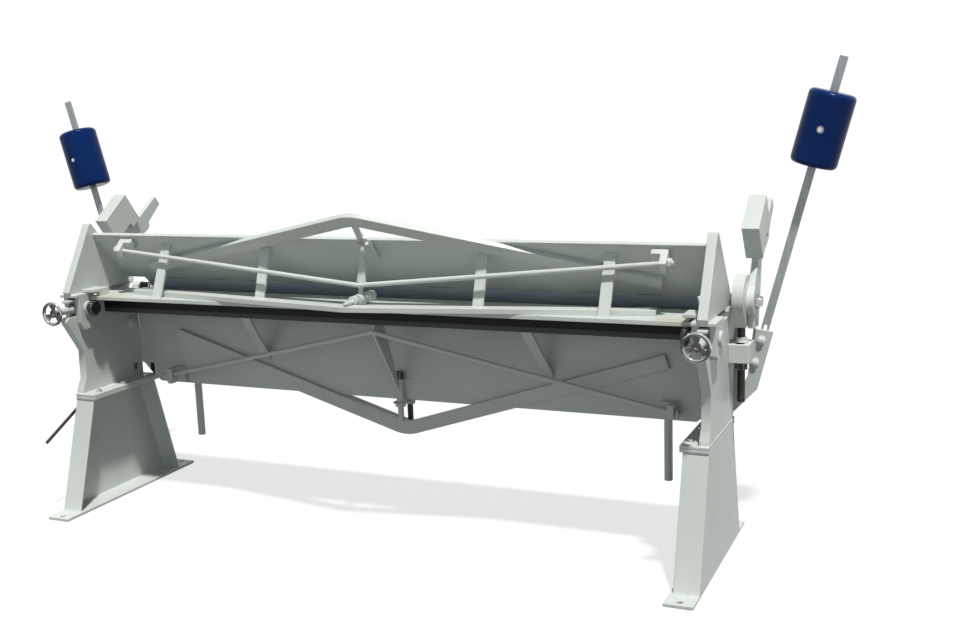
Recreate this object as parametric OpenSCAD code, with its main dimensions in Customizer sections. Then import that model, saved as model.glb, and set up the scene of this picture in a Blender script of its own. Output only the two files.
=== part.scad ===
// Floor-standing sheet metal folder: two stands, two side frames, a trussed bed,
// a trussed clamping beam raised by two eccentric levers, and a hanging folding leaf
// balanced by two weights on splayed bars.
// Millimetres. X runs along the bed, +Y points to the folding leaf, Z is up.
// The origin is on the floor, midway between the four floor holes.

/* [Overall] */
// Clear width between the two side frames
span = 2596; // [2000:4:3200]
// Height of a stand, floor to the top of its cap plate
stand_h = 465; // [420:5:520]
// Height of a side frame, foot plate to bed level
frame_h = 385; // [385:5:460]
// Thickness of a side frame
frame_t = 34; // [30:1:40]
// Thickness of a stand cap plate and of a frame foot plate
cap_t = 12; // [10:1:16]

/* [Stand] */
// Length of a base plate
base_len = 830; // [800:10:900]
// Width of a base plate and of a cap plate
base_w = 100; // [92:2:120]
// Thickness of a base plate
base_t = 12; // [10:1:16]
// Sheet thickness of a folded stand
stand_sheet = 8; // [5:1:10]
// Distance of a floor hole from the end of its base plate
hole_in = 27; // [22:1:34]
// Radius of a floor hole
hole_r = 11; // [8:0.5:13]

/* [Bed] */
// Thickness of the steel bed bar
bed_t = 30; // [24:1:36]
// Depth of the lip along the near edge of the bed
bed_lip = 47; // [40:1:56]
// Thickness of the vertical bed plate
bed_plate_t = 15; // [12:1:18]
// Depth of the vertical bed plate below the bed bar
bed_plate_h = 382; // [360:2:384]
// Width of a truss bar
truss_w = 55; // [45:1:62]
// Thickness of a truss bar
truss_t = 20; // [14:1:22]
// Radius of a tie rod
tie_r = 9; // [7:0.5:10]
// Outside radius of the bend at the middle of a truss bar
bend_r = 170; // [120:5:220]

/* [Clamping beam] */
// Gap between an end of the clamping blade and its side frame
blade_in = 88; // [70:2:140]
// Thickness of the clamping blade
blade_t = 16; // [12:1:18]
// Thickness of the sloping main plate
main_t = 14; // [10:1:18]
// Slope of the main plate from the horizontal
main_tilt = 46.1; // [45.4:0.1:47]
// Length of the main plate down its slope
main_len = 284; // [268:2:290]
// Height of the top edge of the main plate above the bed
main_rise = 264; // [256:1:272]
// Thickness of the bottom plate
floor_t = 16; // [12:1:18]
// Width of the bottom plate, near edge to far edge
floor_w = 230; // [216:2:250]
// Width of a flat strut
strut_w = 42; // [32:1:50]
// Gap between the closed blade and the bed
blade_gap = 0.8; // [0.5:0.1:1.4]

/* [Clamp] */
// Offset of the eccentric from its stud
throw = 20; // [16:1:22]
// Radius of the eccentric
ecc_r = 54; // [50:1:56]
// Outside radius of the eye
eye_r = 80; // [76:1:84]
// Radius of the threaded shank below the eye
shank_r = 13; // [10:0.5:14]
// Thickness of the lever plate
lever_t = 23; // [18:1:25]
// Width of the weight block on the lever
block_w = 60; // [48:2:64]

/* [Setback] */
// Radius of a handwheel, outside the rim
wheel_r = 50; // [42:1:58]
// Radius of a handwheel rim section
rim_r = 6; // [4:0.5:7.5]
// Radius of the pivot pin
pin_r = 16; // [12:0.5:18]
// Height of the fork slot in a side frame
slot_h = 60; // [56:1:60]
// Travel of the setback adjustment
setback = 12; // [8:1:14]

/* [Folding leaf] */
// Thickness of the leaf plate
leaf_t = 18; // [14:1:20]
// Depth of the leaf plate below the bed
leaf_h = 392; // [370:2:400]
// Radius of a leaf handle
handle_r = 16; // [11:0.5:18]
// Splay of a counterweight bar from the vertical
splay = 15; // [13:0.5:16]
// Width of a counterweight bar
bar_w = 28; // [22:1:32]
// Thickness of a counterweight bar
bar_t = 12; // [9:1:13]
// Length of a counterweight bar
bar_len = 1149; // [1000:1:1200]
// Radius of a counterweight
weight_r = 80.5; // [66:0.5:86]
// Length of a counterweight
weight_len = 256; // [190:2:270]

/* [Hidden] */
$fn = 64;
fit = 0.2;
run = 0.05;
weld = 1;
cut = 1000;

half = span / 2;
out_x = half + frame_t;
base_x = out_x + 1 - base_w;
blade_len = span - 2 * blade_in;
foot_z = stand_h + cap_t;
bed_z = foot_z + frame_h;

cap_near = -195;
stand_in = 11;
cap_far = 220;
near_y = -160;
rear_y = 197;

bed_near = -14;
lip_t = 12;
rail_h = 20;
rail_far = bed_near + lip_t + 14;
rail_z = bed_z - bed_lip - rail_h;
bed_y = 195;
bed_low = bed_z - bed_t - bed_plate_h;
bed_v_x = 22;
bed_v_low = bed_low - 146;
bed_v_left = half - 213 + bed_v_x;
bed_v_right = half - 194 - bed_v_x;
bed_rise_left = (bed_low + 190 - bed_v_low) / bed_v_left;
bed_rise_right = (bed_low + 196 - bed_v_low) / bed_v_right;

top_y = -47;
top_z = bed_z + main_rise;
face_cot = 1 / tan(main_tilt);
recess = 3;
floor_z = bed_z + 2;
floor_top = floor_z + floor_t;
floor_near = -120;
nose_y = top_y + (top_z - bed_z - blade_gap) * face_cot + (recess + blade_t) / sin(main_tilt);
hinge_y = nose_y + 1.6;
floor_far = floor_near + floor_w;
end_z = bed_z + 34;

pin_y = -140;
pin_z = bed_z - 28;
slot_end = -85;
cheek_t = 24;
cheek_in = half - cheek_t - 0.5;
cheek_out = out_x + cheek_t + 0.5;

stud_y = 169;
stud_z = bed_z + 46;
stud_r = 18;
eye_y = stud_y - throw * cos(45);
eye_z = stud_z + throw * sin(45);
boss_t = 14;
ecc_x = out_x + boss_t + 1;
eye_t = 40;
lever_x = ecc_x + eye_t + 2;
hub_t = 26;
block_x = lever_x + lever_t / 2 - block_w / 2;
anchor_x = ecc_x + 1 + eye_t / 2;
anchor_w = 2 * (anchor_x - out_x);
anchor_z = bed_z - 164;
anchor_h = 66;
nut_gap = 0.9;

leaf_y = hinge_y + 1.8;
leaf_far = leaf_y + leaf_t;
leaf_low = bed_z - leaf_h;
leaf_v_low = bed_v_low + 4;
leaf_v_w = 32;
ear_x = half - 54;
ear_w = 50;
leaf_half = half - 8;
bracket_t = 12;
bracket_y = leaf_far + 12;
bar_y = bracket_y + bracket_t + fit;
bar_foot = bed_z - 222;
bar_foot_x = out_x + 54;
bar_drop_left = 53;
weight_drop_left = bar_drop_left + 14;
weight_at = bar_len - 397;

function face_y(z) = top_y + (top_z - z) * face_cot;
function plate_point(x, s, w) = [x, top_y - s * cos(main_tilt) - w * sin(main_tilt),
    top_z + s * sin(main_tilt) - w * cos(main_tilt)];
function along(a, b, x) = a + (b - a) * ((x - a[0]) / (b[0] - a[0]));
function strut_hit(y, k) = (top_y + top_z * face_cot - y + k * floor_top) / (k + face_cot);

paint = [0.80, 0.83, 0.79];
steel = [0.55, 0.57, 0.58];
dark = [0.20, 0.21, 0.22];
blue = [0.05, 0.18, 0.42];
chrome = [0.80, 0.82, 0.84];
black = [0.06, 0.06, 0.06];

// A profile given in Y and Z, thickened along X from x0
module plate_x(x0, t) {
    translate([x0, 0, 0]) rotate([90, 0, 90]) linear_extrude(t) children();
}

// A profile given in X and Z, thickened along Y from y0
module plate_y(y0, t) {
    translate([0, y0 + t, 0]) rotate([90, 0, 0]) linear_extrude(t) children();
}

// A round bar along X, Y or Z
module rod_x(x0, x1, y, z, r) {
    translate([x0, y, z]) rotate([0, 90, 0]) cylinder(r = r, h = x1 - x0);
}

module rod_y(y0, y1, x, z, r) {
    translate([x, y0, z]) rotate([-90, 0, 0]) cylinder(r = r, h = y1 - y0);
}

// A round bar between two points
module rod_between(a, b, r) {
    d = b - a;
    l = norm(d);
    translate(a) rotate([0, acos(d[2] / l), atan2(d[1], d[0])]) cylinder(r = r, h = l);
}

// A hexagon nut or head with its axis along X, Y or Z
module hex_x(x0, h, y, z, r) {
    translate([x0, y, z]) rotate([0, 90, 0]) cylinder(r = r, h = h, $fn = 6);
}

module hex_y(y0, h, x, z, r) {
    translate([x, y0, z]) rotate([-90, 0, 0]) cylinder(r = r, h = h, $fn = 6);
}

// The right half of a tie rod, cut square at the middle of the machine
module tie_half(mid, end, r) {
    intersection() {
        rod_between(mid - (end - mid) / 10, end, r);
        translate([0, mid[1] - cut / 2, mid[2] - cut / 2]) cube([2 * end[0], cut, cut]);
    }
}

// Right side as drawn, left side mirrored
module side(s) {
    if (s > 0) children();
    else mirror([1, 0, 0]) children();
}

module both() {
    children();
    mirror([1, 0, 0]) children();
}

// Local axes of the main plate: X, up the slope, and out of its near face
module on_plate() {
    translate([0, top_y, top_z]) rotate([180 - main_tilt, 0, 0]) children();
}

// A flat bar bent once to a round; peak is where its straight outer edges would cross, at X = 0
module bent_bar(peak, rise_l, rise_r, end_l, end_r, w) {
    l = atan(rise_l);
    r = atan(rise_r);
    c = [bend_r * (cos(r) - cos(l)) / sin(l + r), peak - bend_r * (sin(l) + sin(r)) / sin(l + r)];
    turns = [for (i = [0:10]) -l + (l + r) * i / 10];
    outer = [for (a = turns) c + bend_r * [sin(a), cos(a)]];
    inner = [for (i = [10:-1:0]) c + (bend_r - w) * [sin(turns[i]), cos(turns[i])]];
    foot_l = [-end_l, peak - rise_l * end_l];
    foot_r = [end_r, peak - rise_r * end_r];
    polygon(concat([foot_l], outer, [foot_r, foot_r - w * [sin(r), cos(r)]], inner,
        [foot_l - w * [-sin(l), cos(l)]]));
}

// Stand

module stand_outline(o) {
    low = base_t - weld;
    high = stand_h - cap_t + weld;
    polygon([[-328 + o, low], [-190 + o, high], [201 - o, high], [321 - o, low]]);
}

module stand() {
    color(paint) {
        difference() {
            translate([base_x, -base_len / 2, 0]) cube([base_w, base_len, base_t]);
            for (y = [-1, 1])
                translate([base_x + base_w / 2, y * (base_len / 2 - hole_in), -1])
                    cylinder(r = hole_r, h = base_t + 2);
        }
        difference() {
            plate_x(base_x + stand_in, base_w - stand_in) stand_outline(0);
            plate_x(base_x, base_w - stand_sheet) stand_outline(stand_sheet * 1.045);
        }
        difference() {
            translate([base_x, cap_near, stand_h - cap_t]) cube([base_w, cap_far - cap_near, cap_t]);
            foot_holes(5.2);
        }
    }
}

module foot_holes(r) {
    for (y = [-136, 12, 160])
        translate([base_x + 26, y, stand_h - cap_t - 1]) cylinder(r = r, h = 2 * cap_t + 2);
}

// Side frame: a profiled plate with a toe, a forked horn and an ear for the leaf, on its foot plate

module frame_outline() {
    z = bed_z;
    difference() {
        union() {
            polygon([[near_y - 26, foot_z], [near_y - 26, foot_z + 18], [near_y - 1, foot_z + 58],
                [near_y + 2, z - 207], [-234, z - 88], [-234, z - 68], [-222, z - 58], [-60, z - 58],
                [-60, z + 12], [-48, z], [rear_y, z], [rear_y, foot_z]]);
            translate([-222, z - 75]) circle(r = 17);
            translate([-226, z - 60]) square([170, 72]);
            translate([hinge_y, z]) circle(r = 26);
            polygon([[rear_y - 40, z], [rear_y - 40, z - 120], [rear_y, z - 90], [hinge_y + 20, z - 16],
                [hinge_y, z]]);
        }
        translate([-300, pin_z - slot_h / 2]) square([300 + slot_end, slot_h]);
        translate([-300, z - 58]) square([66, 80]);
    }
}

module side_frame() {
    color(paint) {
        difference() {
            plate_x(half, frame_t) frame_outline();
            rod_y(slot_end - 1, slot_end + 46, half + frame_t / 2, pin_z, 8.05);
            rod_x(half - 1, out_x + 1, hinge_y, bed_z, 12);
            rod_x(half - 1, half + 14, 153, bed_z - 144, 8.1);
            rod_x(half - 1, half + 14, 153, bed_z - 342, 16);
            rod_x(half - 1, half + 22, 153, bed_z - 342, 8.1);
        }
        difference() {
            translate([base_x, cap_near, stand_h]) cube([base_w, cap_far - cap_near, cap_t]);
            foot_holes(5.2);
            for (y = [-136, 12, 160])
                translate([base_x + 26, y, foot_z - 6]) cylinder(r = 9.2, h = 7);
        }
        difference() {
            rod_x(half - 12, half, 153, bed_z - 144, 27);
            rod_x(half - 13, half + 1, 153, bed_z - 144, 8.1);
        }
    }
}

module foot_bolts() {
    color(dark) both() for (y = [-136, 12, 160]) translate([base_x + 26, y, 0]) {
        translate([0, 0, stand_h - cap_t]) cylinder(r = 5, h = 2 * cap_t - 5);
        difference() {
            translate([0, 0, foot_z - 6]) cylinder(r = 9, h = 5.6);
            translate([0, 0, foot_z - 3.5]) cylinder(r = 4.6, h = 4, $fn = 6);
        }
    }
}

// Bed

module bed_bar() {
    color(dark) difference() {
        plate_x(-half + fit, span - 2 * fit)
            polygon([[bed_near, bed_z - bed_lip], [bed_near, bed_z], [hinge_y - 1.5, bed_z],
                [hinge_y - 1.5, bed_z - bed_t], [bed_near + lip_t, bed_z - bed_t],
                [bed_near + lip_t, bed_z - bed_lip]]);
        both() translate([half - 58, hinge_y - 30, bed_z - bed_t - 1]) cube([70, 60, bed_t + 2]);
    }
}

// Steel rail hooked behind the lip and showing below it
module bed_rail() {
    color(steel) plate_x(-half + fit, span - 2 * fit)
        polygon([[bed_near + 1, rail_z], [bed_near + 1, rail_z + rail_h - fit],
            [bed_near + lip_t + fit, rail_z + rail_h - fit], [bed_near + lip_t + fit, bed_z - bed_t - fit],
            [rail_far, bed_z - bed_t - fit], [rail_far, rail_z]]);
}

// The lower corners of the bed plate are stepped in beside the stands, then cut off
bed_step = [64, 79];
bed_corner = [97, 28];

module bed_plate() {
    color(paint) plate_y(bed_y, bed_plate_t) {
        h = half - fit;
        top = bed_z - bed_t - fit;
        polygon([[-h, top], [h, top], [h, bed_low + bed_step[1]], [h - bed_step[0], bed_low + bed_step[1]],
            [h - bed_step[0], bed_low + bed_corner[1]], [h - bed_corner[0], bed_low],
            [bed_corner[0] - h, bed_low], [bed_step[0] - h, bed_low + bed_corner[1]],
            [bed_step[0] - h, bed_low + bed_step[1]], [-h, bed_low + bed_step[1]]]);
    }
}

module bed_v(w) {
    translate([bed_v_x, 0]) mirror([0, 1])
        bent_bar(-bed_v_low, bed_rise_left, bed_rise_right, bed_v_left, bed_v_right, w);
}

module bed_truss_bar() {
    color(paint) plate_y(bed_y - truss_t - fit, truss_t) bed_v(truss_w);
}

// Side strut of the bed: a flat bar from the rail down to the bed plate, leaning outward
bed_strut_x = half - 688;
bed_strut_t = 12;
bed_strut_slope = 50.2;
bed_strut_lean = 4.8;

module bed_strut() {
    y0 = rail_far + fit;
    intersection() {
        translate([bed_strut_x, y0, rail_z + 11])
            rotate([-bed_strut_slope, 0, 0]) rotate([0, 0, -bed_strut_lean])
                translate([-strut_w / 2, -strut_w, -bed_strut_t / 2]) cube([strut_w, cut / 2, bed_strut_t]);
        translate([0, y0, 0]) cube([half, bed_y - fit - y0, bed_z]);
    }
}

module bed_struts() {
    near = bed_tie_mid[1] + tie_r + 1.3;
    far = bed_y - 2 * (tube_r + fit) - fit;
    color(paint) {
        both() bed_strut();
        plate_x(-5, 10)
            polygon([[near, rail_z - fit], [rail_far + 46, rail_z - fit], [far, bed_low + 84],
                [far, bed_low + 43], [near, bed_tie_mid[2] - 14]]);
    }
}

bed_tie_x = half - 191;
bed_tie_left = 20;
bed_tie_drop = 15;
bed_tie_y = 150;
bed_tie_z = bed_low + 47;
bed_tie_mid = [0, -26, rail_z - 26];
bed_tie_end = [bed_tie_x + 47, bed_tie_y + 4, bed_tie_z - 14];

module bed_tie_rod() {
    color(paint) both() tie_half(bed_tie_mid, bed_tie_end, tie_r);
}

// Tie rod bracket: one leg on the plate, the other standing out from it; drawn in X and outward
foot_t = 26;
foot_d = 70;
foot_h = 48;

module tie_foot(x) {
    polygon([[x - 35, 0], [x + foot_t, 0], [x + foot_t, foot_d], [x, foot_d], [x, foot_t], [x - 35, foot_t]]);
}

module tie_nut(mid, end, x) {
    at = along(mid, end, x + 7);
    difference() {
        hex_x(x, 14, at[1], at[2], tie_r + 8);
        rod_between(mid, end, tie_r + run);
    }
}

module bed_tie_bracket(x, drop) {
    difference() {
        translate([0, bed_y - fit, bed_tie_z - 24 - drop]) linear_extrude(foot_h + 4 + drop) mirror([0, 1])
            tie_foot(x);
        rod_between(bed_tie_mid, bed_tie_end, tie_r + 0.3);
    }
    tie_nut(bed_tie_mid, bed_tie_end, x + foot_t + fit);
}

module bed_tie_brackets() {
    color(paint) {
        bed_tie_bracket(bed_tie_x, 0);
        mirror([1, 0, 0]) bed_tie_bracket(bed_tie_x - bed_tie_left, bed_tie_drop);
    }
}

// Jack between a plate and its truss bar: screw, collar nut, tube and end nut, standing on Z
tube_r = 16;
screw_r = 12;
flange_r = 30;
jack_nut_r = 20;
jack_nut_h = 30;

module jack(low, collar, high) {
    translate([0, 0, low]) cylinder(r = screw_r, h = collar - low + 1);
    translate([0, 0, collar - 18]) cylinder(r = 2 * screw_r, h = 14, $fn = 6);
    translate([0, 0, collar - 4]) cylinder(r = flange_r, h = 4);
    translate([0, 0, collar]) cylinder(r = tube_r, h = high - collar - jack_nut_h + 1);
    translate([0, 0, high - jack_nut_h]) cylinder(r = jack_nut_r, h = jack_nut_h, $fn = 6);
}

module bed_jack() {
    color(paint) difference() {
        translate([0, bed_y - fit - tube_r, 0]) jack(bed_low - 100, bed_low - 6, bed_low + 118);
        translate([-cut / 2, bed_y - fit, bed_low - fit]) cube([cut, cut, cut]);
        plate_y(bed_y - cut / 2, cut) translate([0, fit]) bed_v(truss_w);
    }
}

module bed_end_bolts() {
    color(steel) both() {
        rod_x(half - 12, half + 12, 153, bed_z - 144, 8);
        rod_x(half - 19, half - 12, 153, bed_z - 144, 13);
        rod_x(half + 4, half + 21, 153, bed_z - 342, 8);
        hex_x(half + 4, 10, 153, bed_z - 342, 13);
    }
}

// Anchor block on the outside of a side frame, slotted for the eye bolt
module anchor_block() {
    color(paint) difference() {
        translate([out_x + fit, 103, anchor_z]) cube([anchor_w - fit, 105, anchor_h]);
        translate([anchor_x, 0, anchor_z - 1]) linear_extrude(anchor_h + 2) {
            translate([-shank_r - 1, eye_y - setback - 13]) square([2 * shank_r + 2, setback + 15]);
            translate([0, eye_y - setback - 13]) circle(r = shank_r + 1);
            translate([0, eye_y + 2]) circle(r = shank_r + 1);
        }
    }
}

module leaf_pins() {
    color(steel) both() {
        rod_x(ear_x + 1, out_x, hinge_y, bed_z, 12 - run);
        rod_x(out_x, out_x + 6, hinge_y, bed_z, 18);
    }
}

// Rest stop for the leaf: a sloping rod in a block on the left frame
stop_x = out_x + 60;
stop_slope = 27;
stop_r = 6.5;
stop_w = 48;
stop_out = 432;
stop_y = 60;
stop_z = bed_z - 372;
stop_end = (bracket_y - 1.2 - stop_y - stop_r * sin(stop_slope)) / cos(stop_slope);

module stop_axis() {
    translate([-stop_x, stop_y, stop_z]) rotate([stop_slope, 0, 0]) children();
}

module stop_block() {
    color(paint) difference() {
        translate([-stop_x - 22, stop_y - stop_w / 2, foot_z + fit])
            cube([stop_x + 22 - out_x - fit, stop_w, stop_z + 24 - foot_z]);
        stop_axis() rotate([-90, 0, 0]) translate([0, 0, -stop_w]) cylinder(r = stop_r + 0.3, h = 2 * stop_w);
    }
}

module stop_rod() {
    color(dark) stop_axis() rotate([-90, 0, 0]) translate([0, 0, -stop_out])
        cylinder(r = stop_r, h = stop_out + stop_end);
}

// Setback carriage: a trunnion block in each fork slot with the pivot pin across it
block_y = 52;
hub_y = -284;
hub_r = 15;
rim_at = 16;

module trunnion_blocks() {
    color(steel) both() difference() {
        translate([half + 0.3, pin_y - block_y / 2, pin_z - slot_h / 2 + run])
            cube([frame_t - 0.6, block_y, slot_h - 2 * run]);
        rod_x(half - 1, out_x + 1, pin_y, pin_z, pin_r + run);
        rod_y(pin_y - 30, pin_y + 30, half + frame_t / 2, pin_z, 8.05);
    }
}

module pivot_pins() {
    color(paint) both() {
        difference() {
            rod_x(cheek_in - 14, cheek_out + 2, pin_y, pin_z, pin_r);
            rod_y(pin_y - 30, pin_y + 30, half + frame_t / 2, pin_z, 8.05);
        }
        rod_x(cheek_out + fit, cheek_out + 10, pin_y, pin_z, 27);
        rod_x(cheek_in - 10, cheek_in - fit, pin_y, pin_z, 27);
    }
}

module setback_screw() {
    color(paint) {
        rod_y(hub_y, pin_y - block_y / 2 - 0.3, half + frame_t / 2, pin_z, hub_r);
        rod_y(pin_y - block_y / 2 - weld, slot_end + 30, half + frame_t / 2, pin_z, 8);
    }
}

// Dished handwheel: the hub lies behind the rim, with three broad spokes between them
module handwheel() {
    r = wheel_r - rim_r;
    color(chrome) translate([half + frame_t / 2, hub_y, pin_z]) rotate([90, 0, 0]) {
        translate([0, 0, rim_at]) rotate_extrude() translate([r, 0]) circle(r = rim_r, $fn = 40);
        difference() {
            rotate_extrude() polygon([[0, fit], [hub_r, fit], [hub_r, 4], [r - 1, rim_at - 4],
                [r - 1, rim_at + 2], [hub_r - 2, 11], [0, 11]]);
            translate([0, 0, 7]) cylinder(r = 6, h = rim_at);
            for (a = [30, 150, 270]) rotate([0, 0, a]) linear_extrude(2 * rim_at) wheel_opening(r);
        }
    }
}

module wheel_opening(r) {
    intersection() {
        difference() {
            circle(r = r - rim_r);
            circle(r = hub_r + 2.5);
        }
        polygon([[0, 0], [wheel_r, -wheel_r * tan(36)], [wheel_r, wheel_r * tan(36)]]);
    }
}

module knob() {
    color(black) translate([cheek_in - 10 - fit, pin_y, pin_z]) rotate([0, -90, 0]) difference() {
        rotate_extrude() difference() {
            union() {
                square([20, 14]);
                translate([0, 8]) square([31, 26]);
                translate([0, 12]) square([33, 18]);
            }
            translate([33, 6]) circle(r = 6, $fn = 24);
        }
        translate([0, 0, -1]) cylinder(r = pin_r + run, h = 5.2);
    }
}

// Clamping beam

module end_outline() {
    polygon([[-216, end_z + 10], [-62, end_z + 277], [-46, end_z + 277], [180, end_z], [-206, end_z]]);
}

module saddle_cheek(drop) {
    polygon([[-185, end_z - 6], [-185, pin_z - 52], [-165, pin_z - drop], [-112, pin_z - drop],
        [-98, pin_z - 56], [-98, end_z - 6]]);
}

module end_plate() {
    color(paint) difference() {
        union() {
            plate_x(half, frame_t) end_outline();
            translate([cheek_in, -206, end_z - 12]) cube([cheek_out - cheek_in, 134, 12]);
            plate_x(cheek_in, cheek_t) saddle_cheek(88);
            plate_x(cheek_out - cheek_t, cheek_t) saddle_cheek(68);
            rod_x(out_x - 1, out_x + boss_t, stud_y - 4, stud_z, 29);
        }
        rod_x(cheek_in - 1, cheek_out + 1, pin_y, pin_z, pin_r + run);
        rod_x(half - 1, out_x + boss_t + 1, stud_y, stud_z, stud_r);
    }
}

module main_plate() {
    color(paint) on_plate() translate([-half + fit, -main_len, -main_t])
        cube([span - 2 * fit, main_len, main_t]);
}

module bottom_plate() {
    color(paint) difference() {
        translate([-half + fit, floor_near, floor_z]) cube([span - 2 * fit, floor_far - floor_near, floor_t]);
        both() translate([cheek_in - 4, floor_near - 1, floor_z - 1]) cube([60, 64, floor_t + 2]);
    }
}

module blade() {
    color(steel) difference() {
        on_plate() translate([-blade_len / 2, -main_len - 120, -recess - blade_t])
            cube([blade_len, 120 - fit, blade_t]);
        translate([-half, 0, bed_z + blade_gap - cut]) cube([span, cut, cut]);
    }
    color(steel) on_plate() difference() {
        translate([-blade_len / 2, -main_len - fit - 1, -main_t - fit - 6]) cube([blade_len, 60, 6]);
        translate([-half, -main_len - fit - 2, -recess - blade_t]) cube([span, 1.5, blade_t]);
    }
}

up_v = 160;
up_end = half - 184;
up_rise = (up_v + 171) / up_end;
low_v = 110;
low_rise = (low_v + 81) / up_end;

module upper_bar(grow) {
    on_plate() translate([0, 0, fit - grow]) linear_extrude(truss_t + 2 * grow)
        bent_bar(up_v + grow, up_rise, up_rise, up_end, up_end, truss_w + 2 * grow);
}

module upper_truss_bar() {
    color(paint) upper_bar(0);
}

module lower_truss_bar() {
    color(paint) translate([0, floor_near, floor_top + fit]) linear_extrude(truss_t) mirror([0, 1])
        bent_bar(low_v, low_rise, low_rise, up_end, up_end, truss_w);
}

// A flat strut from the bottom plate up to the main plate, foot y and lean given
module strut(x, w, y, k, d) {
    plate_x(x - w / 2, w) {
        za = strut_hit(y, k) - fit;
        zb = strut_hit(y + d, k) - fit;
        polygon([[y, floor_top + fit], [y + d, floor_top + fit], [face_y(zb) - fit, zb],
            [face_y(za) - fit, za]]);
    }
}

strut_far_x = half - 350;
strut_near_x = half - 831;

module beam_struts() {
    color(paint) difference() {
        for (s = [-1, 1]) {
            strut(s * strut_far_x, strut_w, floor_near + 14, 0.432, 13);
            strut(s * strut_near_x, strut_w, floor_near + 36, 0.33, 13);
        }
        upper_bar(fit);
    }
}

tie_x = half - 163;
tie_s = -38;
tie_w = 45;
jack_z = floor_top + truss_t + 2 * fit + tie_r;
jack_foot = [0, floor_near + 20, jack_z];
ring_s = 12;
ring_w = 18;
ring_at = plate_point(0, ring_s, ring_w);
jack_len = norm(ring_at - jack_foot);
jack_lean = atan2(ring_at[1] - jack_foot[1], ring_at[2] - jack_foot[2]);
sleeve_t = 12;
tie_mid_z = floor_top + 83;
post_r = 9;
tie_mid_y = jack_foot[1] + (tie_mid_z - jack_z) * tan(jack_lean) - (post_r + tie_r + 1) / cos(jack_lean);
tie_mid = [0, tie_mid_y, tie_mid_z];
tie_end = plate_point(tie_x + 47, tie_s, tie_w);

module beam_tie_rod() {
    color(paint) both() tie_half(tie_mid, tie_end, tie_r);
}

module beam_tie_brackets() {
    color(paint) both() difference() {
        on_plate() translate([0, tie_s + 23, fit]) rotate([90, 0, 0])
            linear_extrude(foot_h) tie_foot(tie_x);
        rod_between(tie_mid, tie_end, tie_r + 0.3);
    }
}

module beam_tie_nuts() {
    color(paint) both() tie_nut(tie_mid, tie_end, tie_x + foot_t + fit);
}

// Strap under the upper truss bar, ending in a boss and an eye, with a tongue down the main plate
boss_r = 15;
ring_r = 25;
ring_x = 12;

module upper_jack() {
    w = 13;
    bend = atan(up_rise);
    s_bar = up_v - bend_r / cos(bend) + sqrt(pow(bend_r - truss_w, 2) - w * w) - fit;
    color(paint) on_plate() {
        difference() {
            union() {
                plate_x(-w, 2 * w) polygon([[s_bar, 3], [s_bar, 12], [ring_s + 12, ring_w + 4],
                    [ring_s, ring_w + 4], [ring_s, ring_w - 5], [ring_s + 12, ring_w - 5]]);
                translate([ring_x, ring_s, ring_w - 6]) cylinder(r = ring_r, h = 10);
                plate_x(ring_x - 4, 20) polygon([[ring_s, 6], [ring_s, ring_w], [-4, 16], [-96, 14], [-96, fit],
                    [-4, fit]]);
            }
            translate([ring_x, ring_s, -1]) cylinder(r = ring_r - 9, h = ring_w + 10);
        }
        translate([-4, ring_s, ring_w - 7]) cylinder(r = boss_r, h = 15);
    }
}

// Screw along the bottom plate with its collars, and the tapered bar up to the eye
module lower_jack() {
    y0 = floor_near - low_v;
    top = jack_len - boss_r - 2;
    color(paint) {
        translate(jack_foot) rotate([-jack_lean, 0, 0]) {
            cylinder(r = post_r, h = 66);
            plate_y(-sleeve_t / 2, sleeve_t)
                polygon([[-16, 62], [20, 62], [18, 148], [9, top], [-4, top], [-5, 148]]);
        }
        translate([0, y0 + 2, jack_z]) rotate([-90, 0, 0]) cylinder(r1 = tie_r / 2, r2 = tie_r, h = 34);
        rod_y(y0 + 36, y0 + 202, 0, jack_z, tie_r);
        rod_y(y0 + 65, y0 + 83, 0, jack_z, 20);
        rod_y(y0 + 102, y0 + 142, 0, jack_z, 21);
        rod_y(y0 + 178, y0 + 216, 0, jack_z, 21);
        translate([-11, y0 + 112, floor_top + fit]) cube([22, 40, jack_z - floor_top - 4]);
    }
}

module end_bridges() {
    color(paint) both() {
        translate([half - 66, -142, end_z + 2]) cube([66 - fit, 90, 12]);
        translate([half - 66, -104, floor_top + fit]) cube([14, 52, end_z + 3 - floor_top - fit]);
    }
}

module lever_studs() {
    color(steel) both() {
        rod_x(half, lever_x + hub_t + 22, stud_y, stud_z, stud_r - run);
        hex_x(lever_x + hub_t + 1, 11, stud_y, stud_z, 27);
    }
}

// Clamp lever: eccentric, hub and lever plate in one piece

module lever_outline() {
    y = stud_y;
    z = stud_z;
    polygon([[y - 10, z - 96], [y + 72, z - 100], [y + 122, z + 127], [y + 161, z + 148], [y + 231, z + 176],
        [y + 256, z + 190], [y + 267, z + 206], [y + 261, z + 220], [y + 348, z + 296], [y + 318, z + 332],
        [y + 201, z + 250], [y + 100, z + 300], [y + 47, z + 250], [y + 47, z + 134], [y - 20, z + 40]]);
}

module lever() {
    color(paint) difference() {
        union() {
            rod_x(ecc_x, lever_x + 1, eye_y, eye_z, ecc_r);
            rod_x(lever_x, lever_x + hub_t, stud_y, stud_z, 51);
            plate_x(lever_x, lever_t) lever_outline();
        }
        rod_x(ecc_x - 1, lever_x + hub_t + 1, stud_y, stud_z, stud_r + run);
    }
}

// Weight block of a lever: square to the handle, slotted over the lever plate and notched below
block_l = 174;
block_h = 142;
block_tilt = 36.7;

module lever_weight() {
    color(paint) difference() {
        translate([block_x, stud_y - 45, stud_z + 257]) rotate([block_tilt, 0, 0])
            translate([0, 0, -block_h]) difference() {
                cube([block_w, block_l, block_h]);
                translate([-1, block_l - 121, -1]) cube([block_w + 2, 60, 25]);
            }
        plate_x(lever_x - fit, lever_t + 2 * fit) lever_outline();
    }
}

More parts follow.
